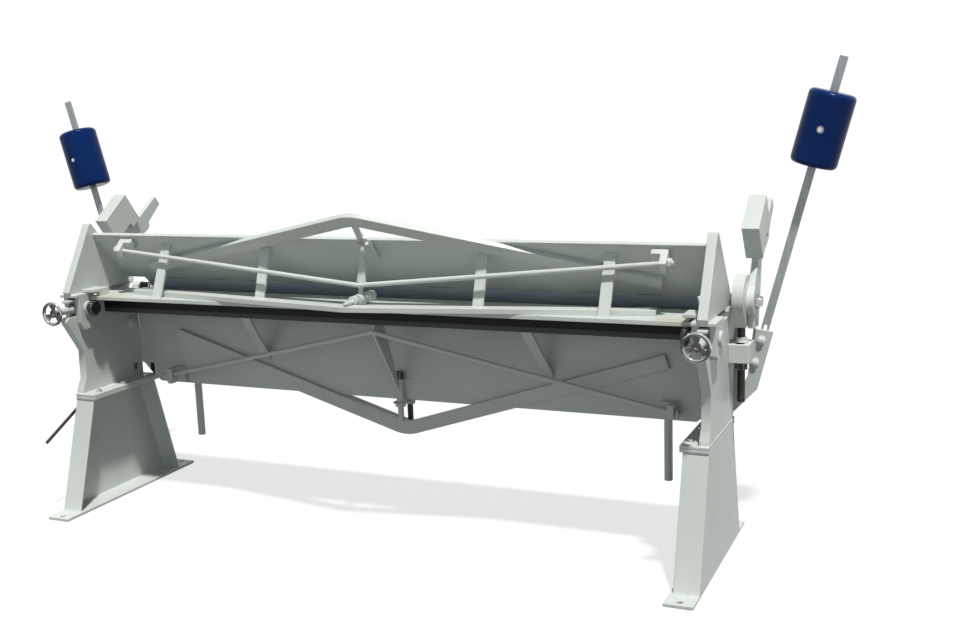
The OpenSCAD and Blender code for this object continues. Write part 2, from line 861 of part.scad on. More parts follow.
// Eye bolt round the eccentric: eye, taper and threaded shank in one piece
module eye_bolt() {
    x0 = ecc_x + 1;
    color(paint) difference() {
        union() {
            rod_x(x0, x0 + eye_t, eye_y, eye_z, eye_r);
            plate_x(x0, eye_t) polygon([[eye_y - eye_r * 0.94, eye_z - eye_r * 0.34],
                [eye_y + eye_r * 0.94, eye_z - eye_r * 0.34], [eye_y + 20, eye_z - eye_r - 24],
                [eye_y - 20, eye_z - eye_r - 24]]);
            translate([anchor_x, eye_y, anchor_z - 148])
                cylinder(r = shank_r, h = eye_z - eye_r - anchor_z + 148);
        }
        rod_x(x0 - 1, x0 + eye_t + 1, eye_y, eye_z, ecc_r + run);
    }
}

module eye_nuts() {
    color(paint) difference() {
        translate([anchor_x, eye_y, anchor_z + anchor_h + nut_gap]) {
            cylinder(r = 25, h = 4);
            cylinder(r = 23, h = 18, $fn = 6);
        }
        translate([anchor_x, eye_y, anchor_z]) cylinder(r = shank_r + run, h = 200);
    }
    color(dark) difference() {
        translate([anchor_x, eye_y, anchor_z - nut_gap - 30]) {
            cylinder(r = 22, h = 30, $fn = 6);
            translate([0, 0, 26]) cylinder(r = 25, h = 4);
        }
        translate([anchor_x, eye_y, anchor_z - 60]) cylinder(r = shank_r + run, h = 100);
    }
}

// Folding leaf
leaf_corner = 14;

module leaf_plate() {
    ear_low = bed_z - 40;
    color(paint) {
        plate_y(leaf_y, leaf_t) polygon([[-leaf_half, ear_low - fit], [2 - ear_x, ear_low - fit],
            [2 - ear_x, bed_z], [ear_x - 2, bed_z], [ear_x - 2, ear_low - fit], [leaf_half, ear_low - fit],
            [leaf_half, leaf_low + leaf_corner], [leaf_half - leaf_corner, leaf_low],
            [leaf_corner - leaf_half, leaf_low], [-leaf_half, leaf_low + leaf_corner]]);
        both() difference() {
            union() {
                rod_x(ear_x, ear_x + ear_w, hinge_y, bed_z, 23);
                plate_x(ear_x, ear_w) polygon([[hinge_y + 1.8, bed_z], [hinge_y + 23, bed_z],
                    [leaf_far, ear_low], [leaf_y, ear_low]]);
            }
            rod_x(ear_x - 1, half, hinge_y, bed_z, 12 + 0.01);
        }
    }
}

module leaf_v(w) {
    translate([bed_v_x, 0]) mirror([0, 1])
        bent_bar(-leaf_v_low, bed_rise_left, bed_rise_right, bed_v_left, bed_v_right, w);
}

module leaf_truss_bar() {
    color(paint) plate_y(leaf_far + fit, 13) leaf_v(leaf_v_w);
}

module leaf_jack() {
    color(paint) difference() {
        translate([0, leaf_far + 7.2, 0]) jack(leaf_v_low + leaf_v_w, leaf_low - 34, leaf_low + 60);
        translate([-cut / 2, leaf_far + fit - cut, leaf_low - fit]) cube([cut, cut, cut]);
        plate_y(leaf_far - cut / 2, cut) translate([0, fit]) leaf_v(leaf_v_w);
    }
}

module leaf_handles() {
    hx = half - 226;
    hy = bar_y + 6;
    color(steel) both() {
        translate([hx, hy, leaf_low - 280]) cylinder(r = handle_r, h = leaf_h + 28);
        translate([hx - 23, leaf_far + fit, leaf_low + 40]) cube([46, hy - leaf_far + 12, 90]);
    }
}

// Bars and weights: local axes along a splayed bar, up from its foot
module on_bar() {
    translate([bar_foot_x, bar_y, bar_foot]) rotate([0, splay, 0]) children();
}

module bar_bracket_outline() {
    x = out_x;
    z = bed_z;
    polygon([[x + 56, z - 70], [x + 126, z - 79], [x + 70, z - 294], [x - 22, z - 392], [x - 130, z - 372],
        [x - 130, z - 300], [x - 12, z - 322], [x + 12, z - 304], [x + 36, z - 246]]);
}

module bar_brackets() {
    color(paint) both() difference() {
        union() {
            plate_y(bracket_y, bracket_t) bar_bracket_outline();
            translate([out_x - 42, bracket_y, bed_z - 330]) cube([54, bracket_t, 318]);
            translate([out_x - 126, leaf_far + fit, bed_z - 368])
                cube([70, bracket_y - leaf_far - fit + 1, 52]);
        }
        on_bar() for (z = [30, 115]) rod_y(-40, 10, 0, z, 6.2);
    }
}

module bar_bolts() {
    color(chrome) both() on_bar() for (z = [30, 115]) {
        rod_y(-bracket_t - 11, bar_t + 12, 0, z, 6);
        rod_y(-bracket_t - 3 - fit, -bracket_t - fit - 0.1, 0, z, 16);
        hex_y(-bracket_t - 11, 7.7, 0, z, 11.5);
        hex_y(bar_t + fit, 9, 0, z, 11.5);
    }
}

module bar(drop) {
    color(steel) on_bar() difference() {
        translate([-bar_w / 2, 0, -20 - drop]) cube([bar_w, bar_t, bar_len]);
        translate([0, -1, 24]) rotate([-90, 0, 0]) linear_extrude(bar_t + 2) {
            translate([-6.3, -140]) square([12.6, 140]);
            circle(r = 6.3);
            translate([0, -140]) circle(r = 6.3);
        }
    }
}

module counterweight(drop) {
    f = 18;
    h = weight_len;
    color(blue) on_bar() translate([0, bar_t / 2, weight_at - drop]) difference() {
        rotate_extrude($fn = 96) {
            square([weight_r - f, h]);
            translate([0, f]) square([weight_r, h - 2 * f]);
            translate([weight_r - f, f]) circle(r = f, $fn = 48);
            translate([weight_r - f, h - f]) circle(r = f, $fn = 48);
        }
        translate([-bar_w / 2 - 0.3, -bar_t / 2 - 0.3, -1]) cube([bar_w + 0.6, bar_t + 0.6, h + 2]);
        rod_y(-weight_r - 1, -weight_r + 14, 0, h / 2, 13);
        rod_y(-weight_r - 1, -bar_t / 2, 0, h / 2, 8.05);
    }
    color(chrome) on_bar() translate([0, bar_t / 2, weight_at - drop]) {
        rod_y(-weight_r + 12, -bar_t / 2 - 0.4, 0, h / 2, 8);
        hex_y(-weight_r + 4, 9, 0, h / 2, 10);
    }
}

side(1) stand();  // stand_right
side(-1) stand();  // stand_left
side(1) side_frame();  // side_frame_right
side(-1) side_frame();  // side_frame_left
foot_bolts();
bed_bar();
bed_rail();
bed_plate();
bed_truss_bar();
bed_struts();
bed_tie_rod();
bed_tie_brackets();
bed_jack();
bed_end_bolts();
side(1) anchor_block();  // anchor_block_right
side(-1) anchor_block();  // anchor_block_left
leaf_pins();
stop_block();
stop_rod();
trunnion_blocks();
pivot_pins();
side(1) setback_screw();  // screw_right
side(-1) setback_screw();  // screw_left
side(1) handwheel();  // handwheel_right
side(-1) handwheel();  // handwheel_left
side(1) knob();  // knob_right
side(-1) knob();  // knob_left
side(1) end_plate();  // end_plate_right
side(-1) end_plate();  // end_plate_left
main_plate();
bottom_plate();
blade();
upper_truss_bar();
lower_truss_bar();
beam_struts();
beam_tie_rod();
beam_tie_brackets();
beam_tie_nuts();
upper_jack();
lower_jack();
end_bridges();
lever_studs();
side(1) lever();  // lever_right
side(-1) lever();  // lever_left
side(1) lever_weight();  // lever_weight_right
side(-1) lever_weight();  // lever_weight_left
side(1) eye_bolt();  // eye_bolt_right
side(-1) eye_bolt();  // eye_bolt_left
side(1) eye_nuts();  // eye_nuts_right
side(-1) eye_nuts();  // eye_nuts_left
leaf_plate();
leaf_truss_bar();
leaf_jack();
leaf_handles();
bar_brackets();
bar_bolts();
side(1) bar(0);  // bar_right
side(-1) bar(bar_drop_left);  // bar_left
side(1) counterweight(0);  // counterweight_right
side(-1) counterweight(weight_drop_left);  // counterweight_left
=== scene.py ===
"""Looks of a floor-standing sheet metal folder: finishes, plates, fasteners, welds, light and camera."""

import logging
import math
from dataclasses import dataclass, field
from enum import Enum
from typing import Callable, Iterable, Optional, Sequence, Union

import bmesh
import bpy
from mathutils import Matrix, Vector
from mathutils.geometry import delaunay_2d_cdt


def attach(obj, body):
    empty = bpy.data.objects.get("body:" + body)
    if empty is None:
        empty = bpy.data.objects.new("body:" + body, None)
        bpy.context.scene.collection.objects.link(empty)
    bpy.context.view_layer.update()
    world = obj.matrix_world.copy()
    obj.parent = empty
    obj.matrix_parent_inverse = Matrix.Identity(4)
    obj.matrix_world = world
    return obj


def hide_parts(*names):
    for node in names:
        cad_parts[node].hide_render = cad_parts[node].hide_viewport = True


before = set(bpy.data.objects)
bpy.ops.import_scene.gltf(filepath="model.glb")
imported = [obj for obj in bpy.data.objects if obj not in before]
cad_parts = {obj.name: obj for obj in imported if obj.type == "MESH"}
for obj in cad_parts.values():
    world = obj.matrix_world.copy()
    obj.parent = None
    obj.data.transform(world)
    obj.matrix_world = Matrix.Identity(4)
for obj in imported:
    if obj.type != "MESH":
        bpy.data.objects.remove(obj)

LOG = logging.getLogger("folder")
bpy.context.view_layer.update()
Point = tuple[float, float, float]
Pair = tuple[float, float]
Material = bpy.types.Material
Mesh = bpy.types.Mesh
Object = bpy.types.Object
Socket = bpy.types.NodeSocket


class End(Enum):
    """The two ends of the machine, with the sign of X at each."""

    RIGHT = 1
    LEFT = -1

    @property
    def tag(self) -> str:
        """The word used in node and body names."""
        return self.name.lower()

    def at(self, x: float, y: float, z: float) -> Point:
        """A point given for the right end, mirrored for the left one."""
        return (self.value * x, y, z)


class Slot(Enum):
    """The record's material slots."""

    PAINT = "paint"
    STEEL = "steel"
    DARK = "dark_steel"
    CHROME = "chrome"
    ZINC = "zinc"
    BLUE = "blue_paint"
    BLACK = "black_plastic"


@dataclass(frozen=True)
class Edges:
    """Radii of the broken edges, in metres."""

    heavy: float = 0.0040
    broad: float = 0.0026
    thick: float = 0.0024
    full: float = 0.0020
    plain: float = 0.0016
    eased: float = 0.0014
    light: float = 0.0012
    slight: float = 0.0010
    crisp: float = 0.0008
    fine: float = 0.0006
    sharp: float = 0.0004


EDGE = Edges()


# Finishes


def add_node(tree: bpy.types.NodeTree, kind: str, values: dict[str, object]) -> bpy.types.Node:
    """Adds a node and sets its properties and input sockets by name.

    Args:
        tree: The node tree in work.
        kind: The node's type name.
        values: Properties, or sockets written with underscores for spaces; a socket as a value is linked.

    Returns:
        The new node.
    """
    made = tree.nodes.new(kind)
    for key, value in values.items():
        if hasattr(made, key):
            setattr(made, key, value)
            continue
        socket = made.inputs[key.replace("_", " ")]
        if isinstance(value, Socket):
            tree.links.new(value, socket)
        else:
            socket.default_value = value
    return made


def reckoned(tree: bpy.types.NodeTree, operation: str, *terms: Union[Socket, float]) -> Socket:
    """Adds a math node.

    Args:
        tree: The node tree in work.
        operation: The node's operation.
        terms: Its inputs in order, each a socket or a constant.

    Returns:
        The result's socket.
    """
    made = add_node(tree, "ShaderNodeMath", {"operation": operation})
    for term, socket in zip(terms, made.inputs):
        if isinstance(term, Socket):
            tree.links.new(term, socket)
        else:
            socket.default_value = term
    return made.outputs[0]


def seen_rays(tree: bpy.types.NodeTree) -> Socket:
    """A mask that is 1 for what is seen, mirrored or seen through, and 0 for other light."""
    rays = tree.nodes.new("ShaderNodeLightPath").outputs
    seen = reckoned(tree, "MAXIMUM", rays["Is Camera Ray"], rays["Is Glossy Ray"])
    return reckoned(tree, "MAXIMUM", seen, rays["Is Transmission Ray"])


class Shading:
    """A material under construction, with short calls for nodes and links."""

    mix_colours: tuple[int, int] = (6, 7)
    mix_result: int = 2

    def __init__(self, name: str) -> None:
        """Starts an empty node material with a Principled shader.

        Args:
            name: The material's name.
        """
        self.material = bpy.data.materials.new(name)
        self.material.use_nodes = True
        self.tree = self.material.node_tree
        self.shader = self.tree.nodes["Principled BSDF"]
        self.coords = self.tree.nodes.new("ShaderNodeTexCoord")

    def node(self, kind: str, **values: object) -> bpy.types.Node:
        """Adds a shader node; the type name goes without its ShaderNode prefix."""
        return add_node(self.tree, "ShaderNode" + kind, values)

    def link(self, out: Socket, into: Socket) -> None:
        """Links two sockets."""
        self.tree.links.new(out, into)

    def mapped(self, scale: Point, place: Point = (0, 0, 0)) -> Socket:
        """Object coordinates, scaled along the three axes and then moved."""
        made = self.node("Mapping", Scale=scale, Location=place, Vector=self.coords.outputs["Object"])
        return made.outputs["Vector"]

    def noise(self, scale: float, detail: float = 4.0, stretch: Point = (1, 1, 1)) -> Socket:
        """A noise pattern on Object coordinates.

        Args:
            scale: Size of the pattern, in waves per metre.
            detail: Number of finer layers.
            stretch: Extra scale along the axes.

        Returns:
            The noise value's socket.
        """
        made = self.node("TexNoise", Scale=scale, Detail=detail, Vector=self.mapped(stretch))
        return made.outputs["Fac"]

    def ramp(self, value: Socket, stops: Sequence[tuple[float, Point]]) -> Socket:
        """Colours a value through a ramp.

        Args:
            value: The socket to colour.
            stops: Pairs of place and colour.

        Returns:
            The ramp's colour socket.
        """
        made = self.node("ValToRGB", Fac=value)
        ends = made.color_ramp.elements
        while len(ends) < len(stops):
            ends.new(0.5)
        for end, (place, colour) in zip(ends, stops):
            end.position = place
            end.color = (*colour, 1.0)
        return made.outputs["Color"]

    def mask(self, value: Socket, stops: Sequence[Pair]) -> Socket:
        """A grey mask from a value, with stops given as pairs of place and strength."""
        return self.ramp(value, [(place, (grey, grey, grey)) for place, grey in stops])

    def mix(self, fac: Socket, a: Union[Socket, Point], b: Union[Socket, Point]) -> Socket:
        """Mixes two colours by a mask.

        Args:
            fac: The mask.
            a: First colour, a socket or a constant.
            b: Second colour, a socket or a constant.

        Returns:
            The mixed colour's socket.
        """
        made = self.node("Mix", data_type="RGBA")
        self.link(fac, made.inputs[0])
        for place, value in zip(self.mix_colours, (a, b)):
            if isinstance(value, Socket):
                self.link(value, made.inputs[place])
            else:
                made.inputs[place].default_value = (*value, 1.0)
        return made.outputs[self.mix_result]

    def rough(self, value: Socket, low: float, high: float) -> None:
        """Drives roughness from a pattern between two limits."""
        made = self.node("MapRange", Value=value, To_Min=low, To_Max=high)
        self.link(made.outputs["Result"], self.shader.inputs["Roughness"])

    def bump(self, heights: Sequence[tuple[Socket, float, float]]) -> None:
        """Stacks bump layers.

        Args:
            heights: Triples of height socket, strength and distance in metres.
        """
        last: Optional[bpy.types.Node] = None
        for socket, strength, distance in heights:
            made = self.node("Bump", Strength=strength, Distance=distance, Height=socket)
            if last is not None:
                self.link(last.outputs["Normal"], made.inputs["Normal"])
            last = made
        if last is not None:
            self.link(last.outputs["Normal"], self.shader.inputs["Normal"])


def tinted(colour: Sequence[float], gain: float) -> Point:
    """A colour made lighter or darker by a factor."""
    return tuple(min(1.0, c * gain) for c in colour)


@dataclass(frozen=True)
class Enamel:
    """Sprayed machine enamel with orange peel, handling marks and worn edges; patterns in waves per metre."""

    name: str
    colour: Point
    wear: Point = (0.30, 0.31, 0.30)
    gloss: Pair = (0.30, 0.46)
    mottle: float = 0.05
    wear_share: float = 0.0
    stains: tuple[Point, ...] = ()
    sheen: float = 0.45
    stain: Point = (0.56, 0.46, 0.20)
    stain_scale: Point = (9, 24, 24)
    clouds: float = 3.2
    grime: float = 11.0
    specks: float = 260.0
    chips: float = 70.0
    smears: float = 18.0
    peel: float = 420.0

    def material(self) -> Material:
        """Builds the finish.

        Returns:
            The node material.
        """
        s = Shading(self.name)
        light, dark = (tinted(self.colour, 1 + side * self.mottle) for side in (1, -1))
        colour = s.ramp(s.noise(self.clouds, 5.0), [(0.30, dark), (0.72, light)])
        grime = s.mask(s.noise(self.grime, 8.0), [(0.60, 0), (0.82, 0.35)])
        colour = s.mix(grime, colour, tinted(self.colour, 0.80))
        specks = s.mask(s.noise(self.specks, 2.0), [(0.74, 0), (0.80, 0.5)])
        colour = s.mix(specks, colour, tinted(self.colour, 0.72))
        for place in self.stains:
            colour = s.mix(self.stain_mask(s, place), colour, self.stain)
        if self.wear_share > 0:
            bare = 1 - self.wear_share
            chips = s.mask(s.noise(self.chips, 7.0), [(bare, 0), (bare + 0.05, 1)])
            colour = s.mix(chips, colour, self.wear)
        s.link(colour, s.shader.inputs["Base Color"])
        s.rough(s.noise(self.smears, 6.0), *self.gloss)
        s.bump([(s.noise(self.peel, 2.0), 0.10, 0.0006), (s.noise(9.0, 3.0), 0.06, 0.004)])
        s.shader.inputs["Specular IOR Level"].default_value = self.sheen
        return s.material

    def stain_mask(self, s: Shading, place: Point) -> Socket:
        """A ragged spot.

        Args:
            s: The material in work.
            place: The spot's middle, in metres.

        Returns:
            A mask, grey where the stain lies.
        """
        shift = tuple(-c * k for c, k in zip(place, self.stain_scale))
        ball = s.node("TexGradient", gradient_type="SPHERICAL", Vector=s.mapped(self.stain_scale, shift))
        ragged = reckoned(s.tree, "MULTIPLY", ball.outputs["Fac"], s.noise(26.0, 6.0))
        return s.mask(ragged, [(0.12, 0), (0.36, 0.55)])


@dataclass(frozen=True)
class Metal:
    """Bare or plated steel with grinding lines, smudges and spots; patterns in waves per metre."""

    name: str
    colour: Point
    roughness: Pair
    grain: Point = (1, 1, 1)
    grain_depth: float = 0.12
    spots: Point = (0.05, 0.04, 0.03)
    spot_share: float = 0.28
    metallic: float = 1.0
    sheen: float = 0.5
    # mirror turns on a painted reflection: dark workshop bands mixed into the base colour.
    mirror: bool = False
    lines: float = 90.0
    haze: float = 4.5
    specks: float = 38.0
    smears: float = 24.0
    # Painted reflection: where the dark bands lie and how dark they are, and how far they lean with X.
    painted_reflection_bands: tuple[Pair, ...] = (
        (0.0, 0.7), (0.16, 0.05), (0.26, 1.0), (0.56, 1.0), (0.68, 0.05), (0.80, 0.45), (0.92, 0.05))
    painted_reflection_lean: float = 0.35

    def material(self) -> Material:
        """Builds the finish.

        Returns:
            The node material.
        """
        s = Shading(self.name)
        lines = s.noise(self.lines, 5.0, self.grain)
        colour = s.ramp(lines, [(0.28, tinted(self.colour, 0.84)), (0.74, tinted(self.colour, 1.14))])
        haze = s.mask(s.noise(self.haze, 6.0), [(0.35, 0), (0.75, 0.45)])
        colour = s.mix(haze, colour, tinted(self.colour, 0.78))
        spots = s.mask(s.noise(self.specks, 8.0), [(1 - self.spot_share, 0), (1.0, 0.9)])
        colour = s.mix(spots, colour, self.spots)
        # Painted reflection: dark workshop bands mixed into the base colour by the way the surface faces.
        if self.mirror:
            colour = s.mix(self.surround(s), colour, tinted(self.colour, 0.10))
        s.link(colour, s.shader.inputs["Base Color"])
        s.rough(s.noise(self.smears, 7.0, self.grain), *self.roughness)
        s.shader.inputs["Specular IOR Level"].default_value = self.sheen
        s.bump([(lines, self.grain_depth, 0.0005), (s.noise(14.0, 3.0), 0.05, 0.002)])
        s.shader.inputs["Metallic"].default_value = self.metallic
        return s.material

    def surround(self, s: Shading) -> Socket:
        """Painted reflection: dark workshop bands put into the colour as a polished surface would mirror
        them, by how it faces.

        Args:
            s: The material in work.

        Returns:
            A mask, white where the painted reflection is dark.
        """
        facing = s.node("SeparateXYZ", Vector=s.coords.outputs["Normal"]).outputs
        wave = reckoned(s.tree, "MULTIPLY_ADD", facing["X"], self.painted_reflection_lean, facing["Z"])
        return s.mask(reckoned(s.tree, "MULTIPLY_ADD", wave, 0.5, 0.5), self.painted_reflection_bands)


@dataclass(frozen=True)
class Moulding:
    """Glossy moulded plastic with a fine pebble and finger marks; patterns in waves per metre."""

    name: str
    colour: Point
    roughness: Pair = (0.16, 0.34)
    clouds: float = 22.0
    smears: float = 60.0
    pebble: float = 900.0

    def material(self) -> Material:
        """Builds the finish.

        Returns:
            The node material.
        """
        s = Shading(self.name)
        colour = s.ramp(s.noise(self.clouds, 5.0), [(0.35, self.colour), (0.8, tinted(self.colour, 1.8))])
        s.link(colour, s.shader.inputs["Base Color"])
        s.rough(s.noise(self.smears, 6.0), *self.roughness)
        s.bump([(s.noise(self.pebble, 2.0), 0.08, 0.0003)])
        return s.material


PALE = (0.572, 0.612, 0.572)
BLUE = (0.0018, 0.022, 0.118)
SHELF_STAINS = ((1.19, -0.100, 0.880), (-1.20, -0.096, 0.880))
DRAWN_X = (0.08, 1, 1)
ROLLED_X = (0.06, 1, 1)
ROLLED_Z = (1, 1, 0.05)


class Finishes:
    """The machine's finishes, each made once."""

    def __init__(self) -> None:
        """Builds every material."""
        self.enamel = Enamel("pale_enamel", PALE).material()
        self.enamel_edge = Enamel("pale_enamel_edge", tinted(PALE, 1.05), wear_share=0.34).material()
        self.shelf_enamel = Enamel("shelf_enamel", PALE, stains=SHELF_STAINS).material()
        self.blue = Enamel("blue_enamel", BLUE, (0.02, 0.04, 0.09), (0.20, 0.30),
                           mottle=0.10, sheen=0.08).material()
        self.blue_edge = Enamel("blue_enamel_edge", tinted(BLUE, 1.15), (0.05, 0.08, 0.14), (0.20, 0.30),
                                mottle=0.10, wear_share=0.32, sheen=0.08).material()
        self.blade = Metal("ground_blade_steel", (0.40, 0.43, 0.45), (0.34, 0.54), DRAWN_X,
                           metallic=0.35).material()
        # Painted light: the blade's near face is much paler than the rest of the blade, standing in for light
        # bounced into its recess.
        self.blade_root = Metal("scoured_blade_root", (0.64, 0.76, 0.80), (0.40, 0.60), DRAWN_X,
                                metallic=0.0, sheen=0.3).material()
        # Partly painted shade: the rail's dark steel colour also stands in for the shade beneath the bed bar.
        self.rail = Metal("oiled_rail_steel", (0.050, 0.055, 0.060), (0.40, 0.60), ROLLED_X,
                          metallic=0.2, sheen=0.2).material()
        # Partly painted shade: the near-black colour is the bar's dark steel darkened further for the shade
        # under the beam.
        self.bed = Metal("oiled_bed_steel", (0.008, 0.009, 0.010), (0.40, 0.62), ROLLED_X,
                         spots=(0.03, 0.022, 0.014), metallic=0.0, sheen=0.14).material()
        self.bar = Metal("rolled_bar_steel", (0.38, 0.405, 0.42), (0.36, 0.55), ROLLED_Z,
                         metallic=0.25).material()
        self.zinc = Metal("bright_zinc", (0.60, 0.61, 0.60), (0.22, 0.42),
                          spots=(0.30, 0.29, 0.24), spot_share=0.22).material()
        # The chrome carries a painted reflection of dark workshop bands in its base colour.
        self.chrome = Metal("polished_chrome", (0.70, 0.71, 0.73), (0.05, 0.13), grain_depth=0.03,
                            spots=(0.30, 0.29, 0.27), spot_share=0.16, mirror=True).material()
        self.thread = Metal("oiled_thread", (0.045, 0.043, 0.040), (0.36, 0.60), metallic=0.8).material()
        self.knob = Moulding("black_moulding", (0.010, 0.010, 0.011)).material()


# Meshes


def finish_mesh(mesh: Mesh, smooth_deg: float) -> None:
    """Shades a mesh smooth, apart from edges sharper than an angle."""
    mesh.polygons.foreach_set("use_smooth", [True] * len(mesh.polygons))
    mesh.set_sharp_from_angle(angle=math.radians(smooth_deg))
    mesh.update()


def new_object(name: str, mesh: Mesh) -> Object:
    """Adds a mesh object at the origin."""
    made = bpy.data.objects.new(name, mesh)
    bpy.context.scene.collection.objects.link(made)
    return made


def baked(piece: Object) -> Object:
    """Turns an object's modifiers into a plain mesh.

    Args:
        piece: The object with live modifiers.

    Returns:
        The same object, with none.
    """
    bpy.context.view_layer.update()
    graph = bpy.context.evaluated_depsgraph_get()
    shaped = piece.evaluated_get(graph)
    mesh = bpy.data.meshes.new_from_object(shaped, preserve_all_data_layers=True, depsgraph=graph)
    piece.modifiers.clear()
    old = piece.data
    piece.data = mesh
    mesh.name = piece.name
    if old.users == 0:
        bpy.data.meshes.remove(old)
    return piece


@dataclass
class Tiler:
    """Tiles anew each flat polygon that a bevel left folded, where plain tiling covers more than its area."""

    mesh: Mesh
    excess: float = 1.004
    slack: float = 1e-6
    merge: float = 1e-7

    def run(self) -> int:
        """Mends the mesh.

        Returns:
            The number of polygons tiled anew.
        """
        bm = bmesh.new()
        bm.from_mesh(self.mesh)
        folded = self.folded(bm)
        for face in folded:
            self.tile(bm, face)
        if folded:
            bm.to_mesh(self.mesh)
            self.mesh.update()
        bm.free()
        return len(folded)

    def folded(self, bm: bmesh.types.BMesh) -> list[bmesh.types.BMFace]:
        """The polygons whose plain tiles overlap."""
        covered: dict[bmesh.types.BMFace, float] = {}
        for a, b, c in bm.calc_loop_triangles():
            area = (b.vert.co - a.vert.co).cross(c.vert.co - a.vert.co).length / 2
            covered[a.face] = covered.get(a.face, 0.0) + area
        return [face for face, area in covered.items()
                if len(face.verts) > 3 and area > face.calc_area() * self.excess + self.slack]

    def tile(self, bm: bmesh.types.BMesh, face: bmesh.types.BMFace) -> None:
        """Puts flat tiles in the place of one polygon.

        Args:
            bm: The mesh in work.
            face: The folded polygon.
        """
        corners = list(face.verts)
        up = face.normal.copy()
        side = up.orthogonal().normalized()
        over = up.cross(side)
        origin = corners[0].co.copy()
        flat = [Vector(((v.co - origin).dot(side), (v.co - origin).dot(over))) for v in corners]
        outline = [list(range(len(flat)))]
        places, _, tiles, sources, _, _ = delaunay_2d_cdt(flat, [], outline, 1, self.merge)
        made = [corners[known[0]] if known else bm.verts.new(origin + side * at.x + over * at.y)
                for at, known in zip(places, sources)]
        kind, smooth = face.material_index, face.smooth
        bmesh.ops.delete(bm, geom=[face], context="FACES_ONLY")
        for tile in tiles:
            chosen = [made[i] for i in tile]
            if len(set(chosen)) < 3 or bm.faces.get(chosen) is not None:
                continue
            part = bm.faces.new(chosen)
            part.normal_update()
            if part.normal.dot(up) < 0:
                part.normal_flip()
            part.material_index, part.smooth = kind, smooth


def settle(piece: Object, body: str, nodes: Iterable[str] = ()) -> Object:
    """Ties a finished piece to the CAD frame.

    Args:
        piece: The finished piece.
        body: The body it moves with.
        nodes: CAD nodes that it replaces.

    Returns:
        The piece.
    """
    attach(piece, body)
    names = tuple(nodes)
    if names:
        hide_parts(*names)
    LOG.info("piece %s on %s: %d faces", piece.name, body, len(piece.data.polygons))
    return piece


def joined(name: str, pieces: Sequence[Object]) -> Object:
    """Puts several pieces at the origin into one mesh that shares their first material.

    Args:
        name: The new object's name.
        pieces: The pieces, which are removed.

    Returns:
        The joined object.
    """
    bm = bmesh.new()
    material = pieces[0].data.materials[0]
    for piece in pieces:
        bm.from_mesh(piece.data)
        old = piece.data
        bpy.data.objects.remove(piece)
        bpy.data.meshes.remove(old)
    mesh = bpy.data.meshes.new(name)
    bm.to_mesh(mesh)
    bm.free()
    mesh.materials.clear()
    mesh.materials.append(material)
    mesh.polygons.foreach_set("material_index", [0] * len(mesh.polygons))
    finish_mesh(mesh, NodeTree.smooth_deg)
    return new_object(name, mesh)


class Forge:
    """Collects solids in one bmesh and turns them into an object."""

    merge: float = 1e-6

    def __init__(self) -> None:
        """Starts with no geometry."""
        self.bm = bmesh.new()

    def ring_stack(self, rings: Sequence[Sequence[Vector]]) -> None:
        """Skins and caps a stack of rings that have the same number of points.

        Args:
            rings: The rings from one end to the other.
        """
        rows = [[self.bm.verts.new(p) for p in ring] for ring in rings]
        n = len(rows[0])
        for a, b in zip(rows, rows[1:]):
            for i in range(n):
                j = (i + 1) % n
                self.bm.faces.new((a[i], a[j], b[j], b[i]))
        self.bm.faces.new(list(reversed(rows[0])))
        self.bm.faces.new(rows[-1])

    def lathe(self, profile: Sequence[Pair], place: Matrix, steps: int,
              radius: Callable[[float, float], float]) -> None:
        """Turns a profile about the local Z axis.

        Args:
            profile: Pairs of radius and height, from the low end to the high end.
            place: Local axes to world axes.
            steps: Points round the axis.
            radius: The radius at a place, from the profile's radius and the angle.
        """
        rings = []
        for r, h in profile:
            ring = []
            for i in range(steps):
                a = 2 * math.pi * i / steps
                q = radius(r, a)
                ring.append(place @ Vector((q * math.cos(a), q * math.sin(a), h)))
            rings.append(ring)
        self.ring_stack(rings)

    def object(self, name: str, material: Material, smooth_deg: float) -> Object:
        """Closes the bmesh.

        Args:
            name: The object's name.
            material: Its material.
            smooth_deg: Smoothing angle.

        Returns:
            The new object.
        """
        bmesh.ops.remove_doubles(self.bm, verts=self.bm.verts, dist=self.merge)
        bmesh.ops.recalc_face_normals(self.bm, faces=self.bm.faces)
        mesh = bpy.data.meshes.new(name)
        self.bm.to_mesh(mesh)
        self.bm.free()
        mesh.materials.append(material)
        finish_mesh(mesh, smooth_deg)
        return new_object(name, mesh)


def along(axis: Sequence[float], place: Sequence[float]) -> Matrix:
    """A frame whose local Z points along an axis, at a place."""
    turn = Vector((0, 0, 1)).rotation_difference(Vector(axis).normalized())
    return Matrix.Translation(Vector(place)) @ turn.to_matrix().to_4x4()


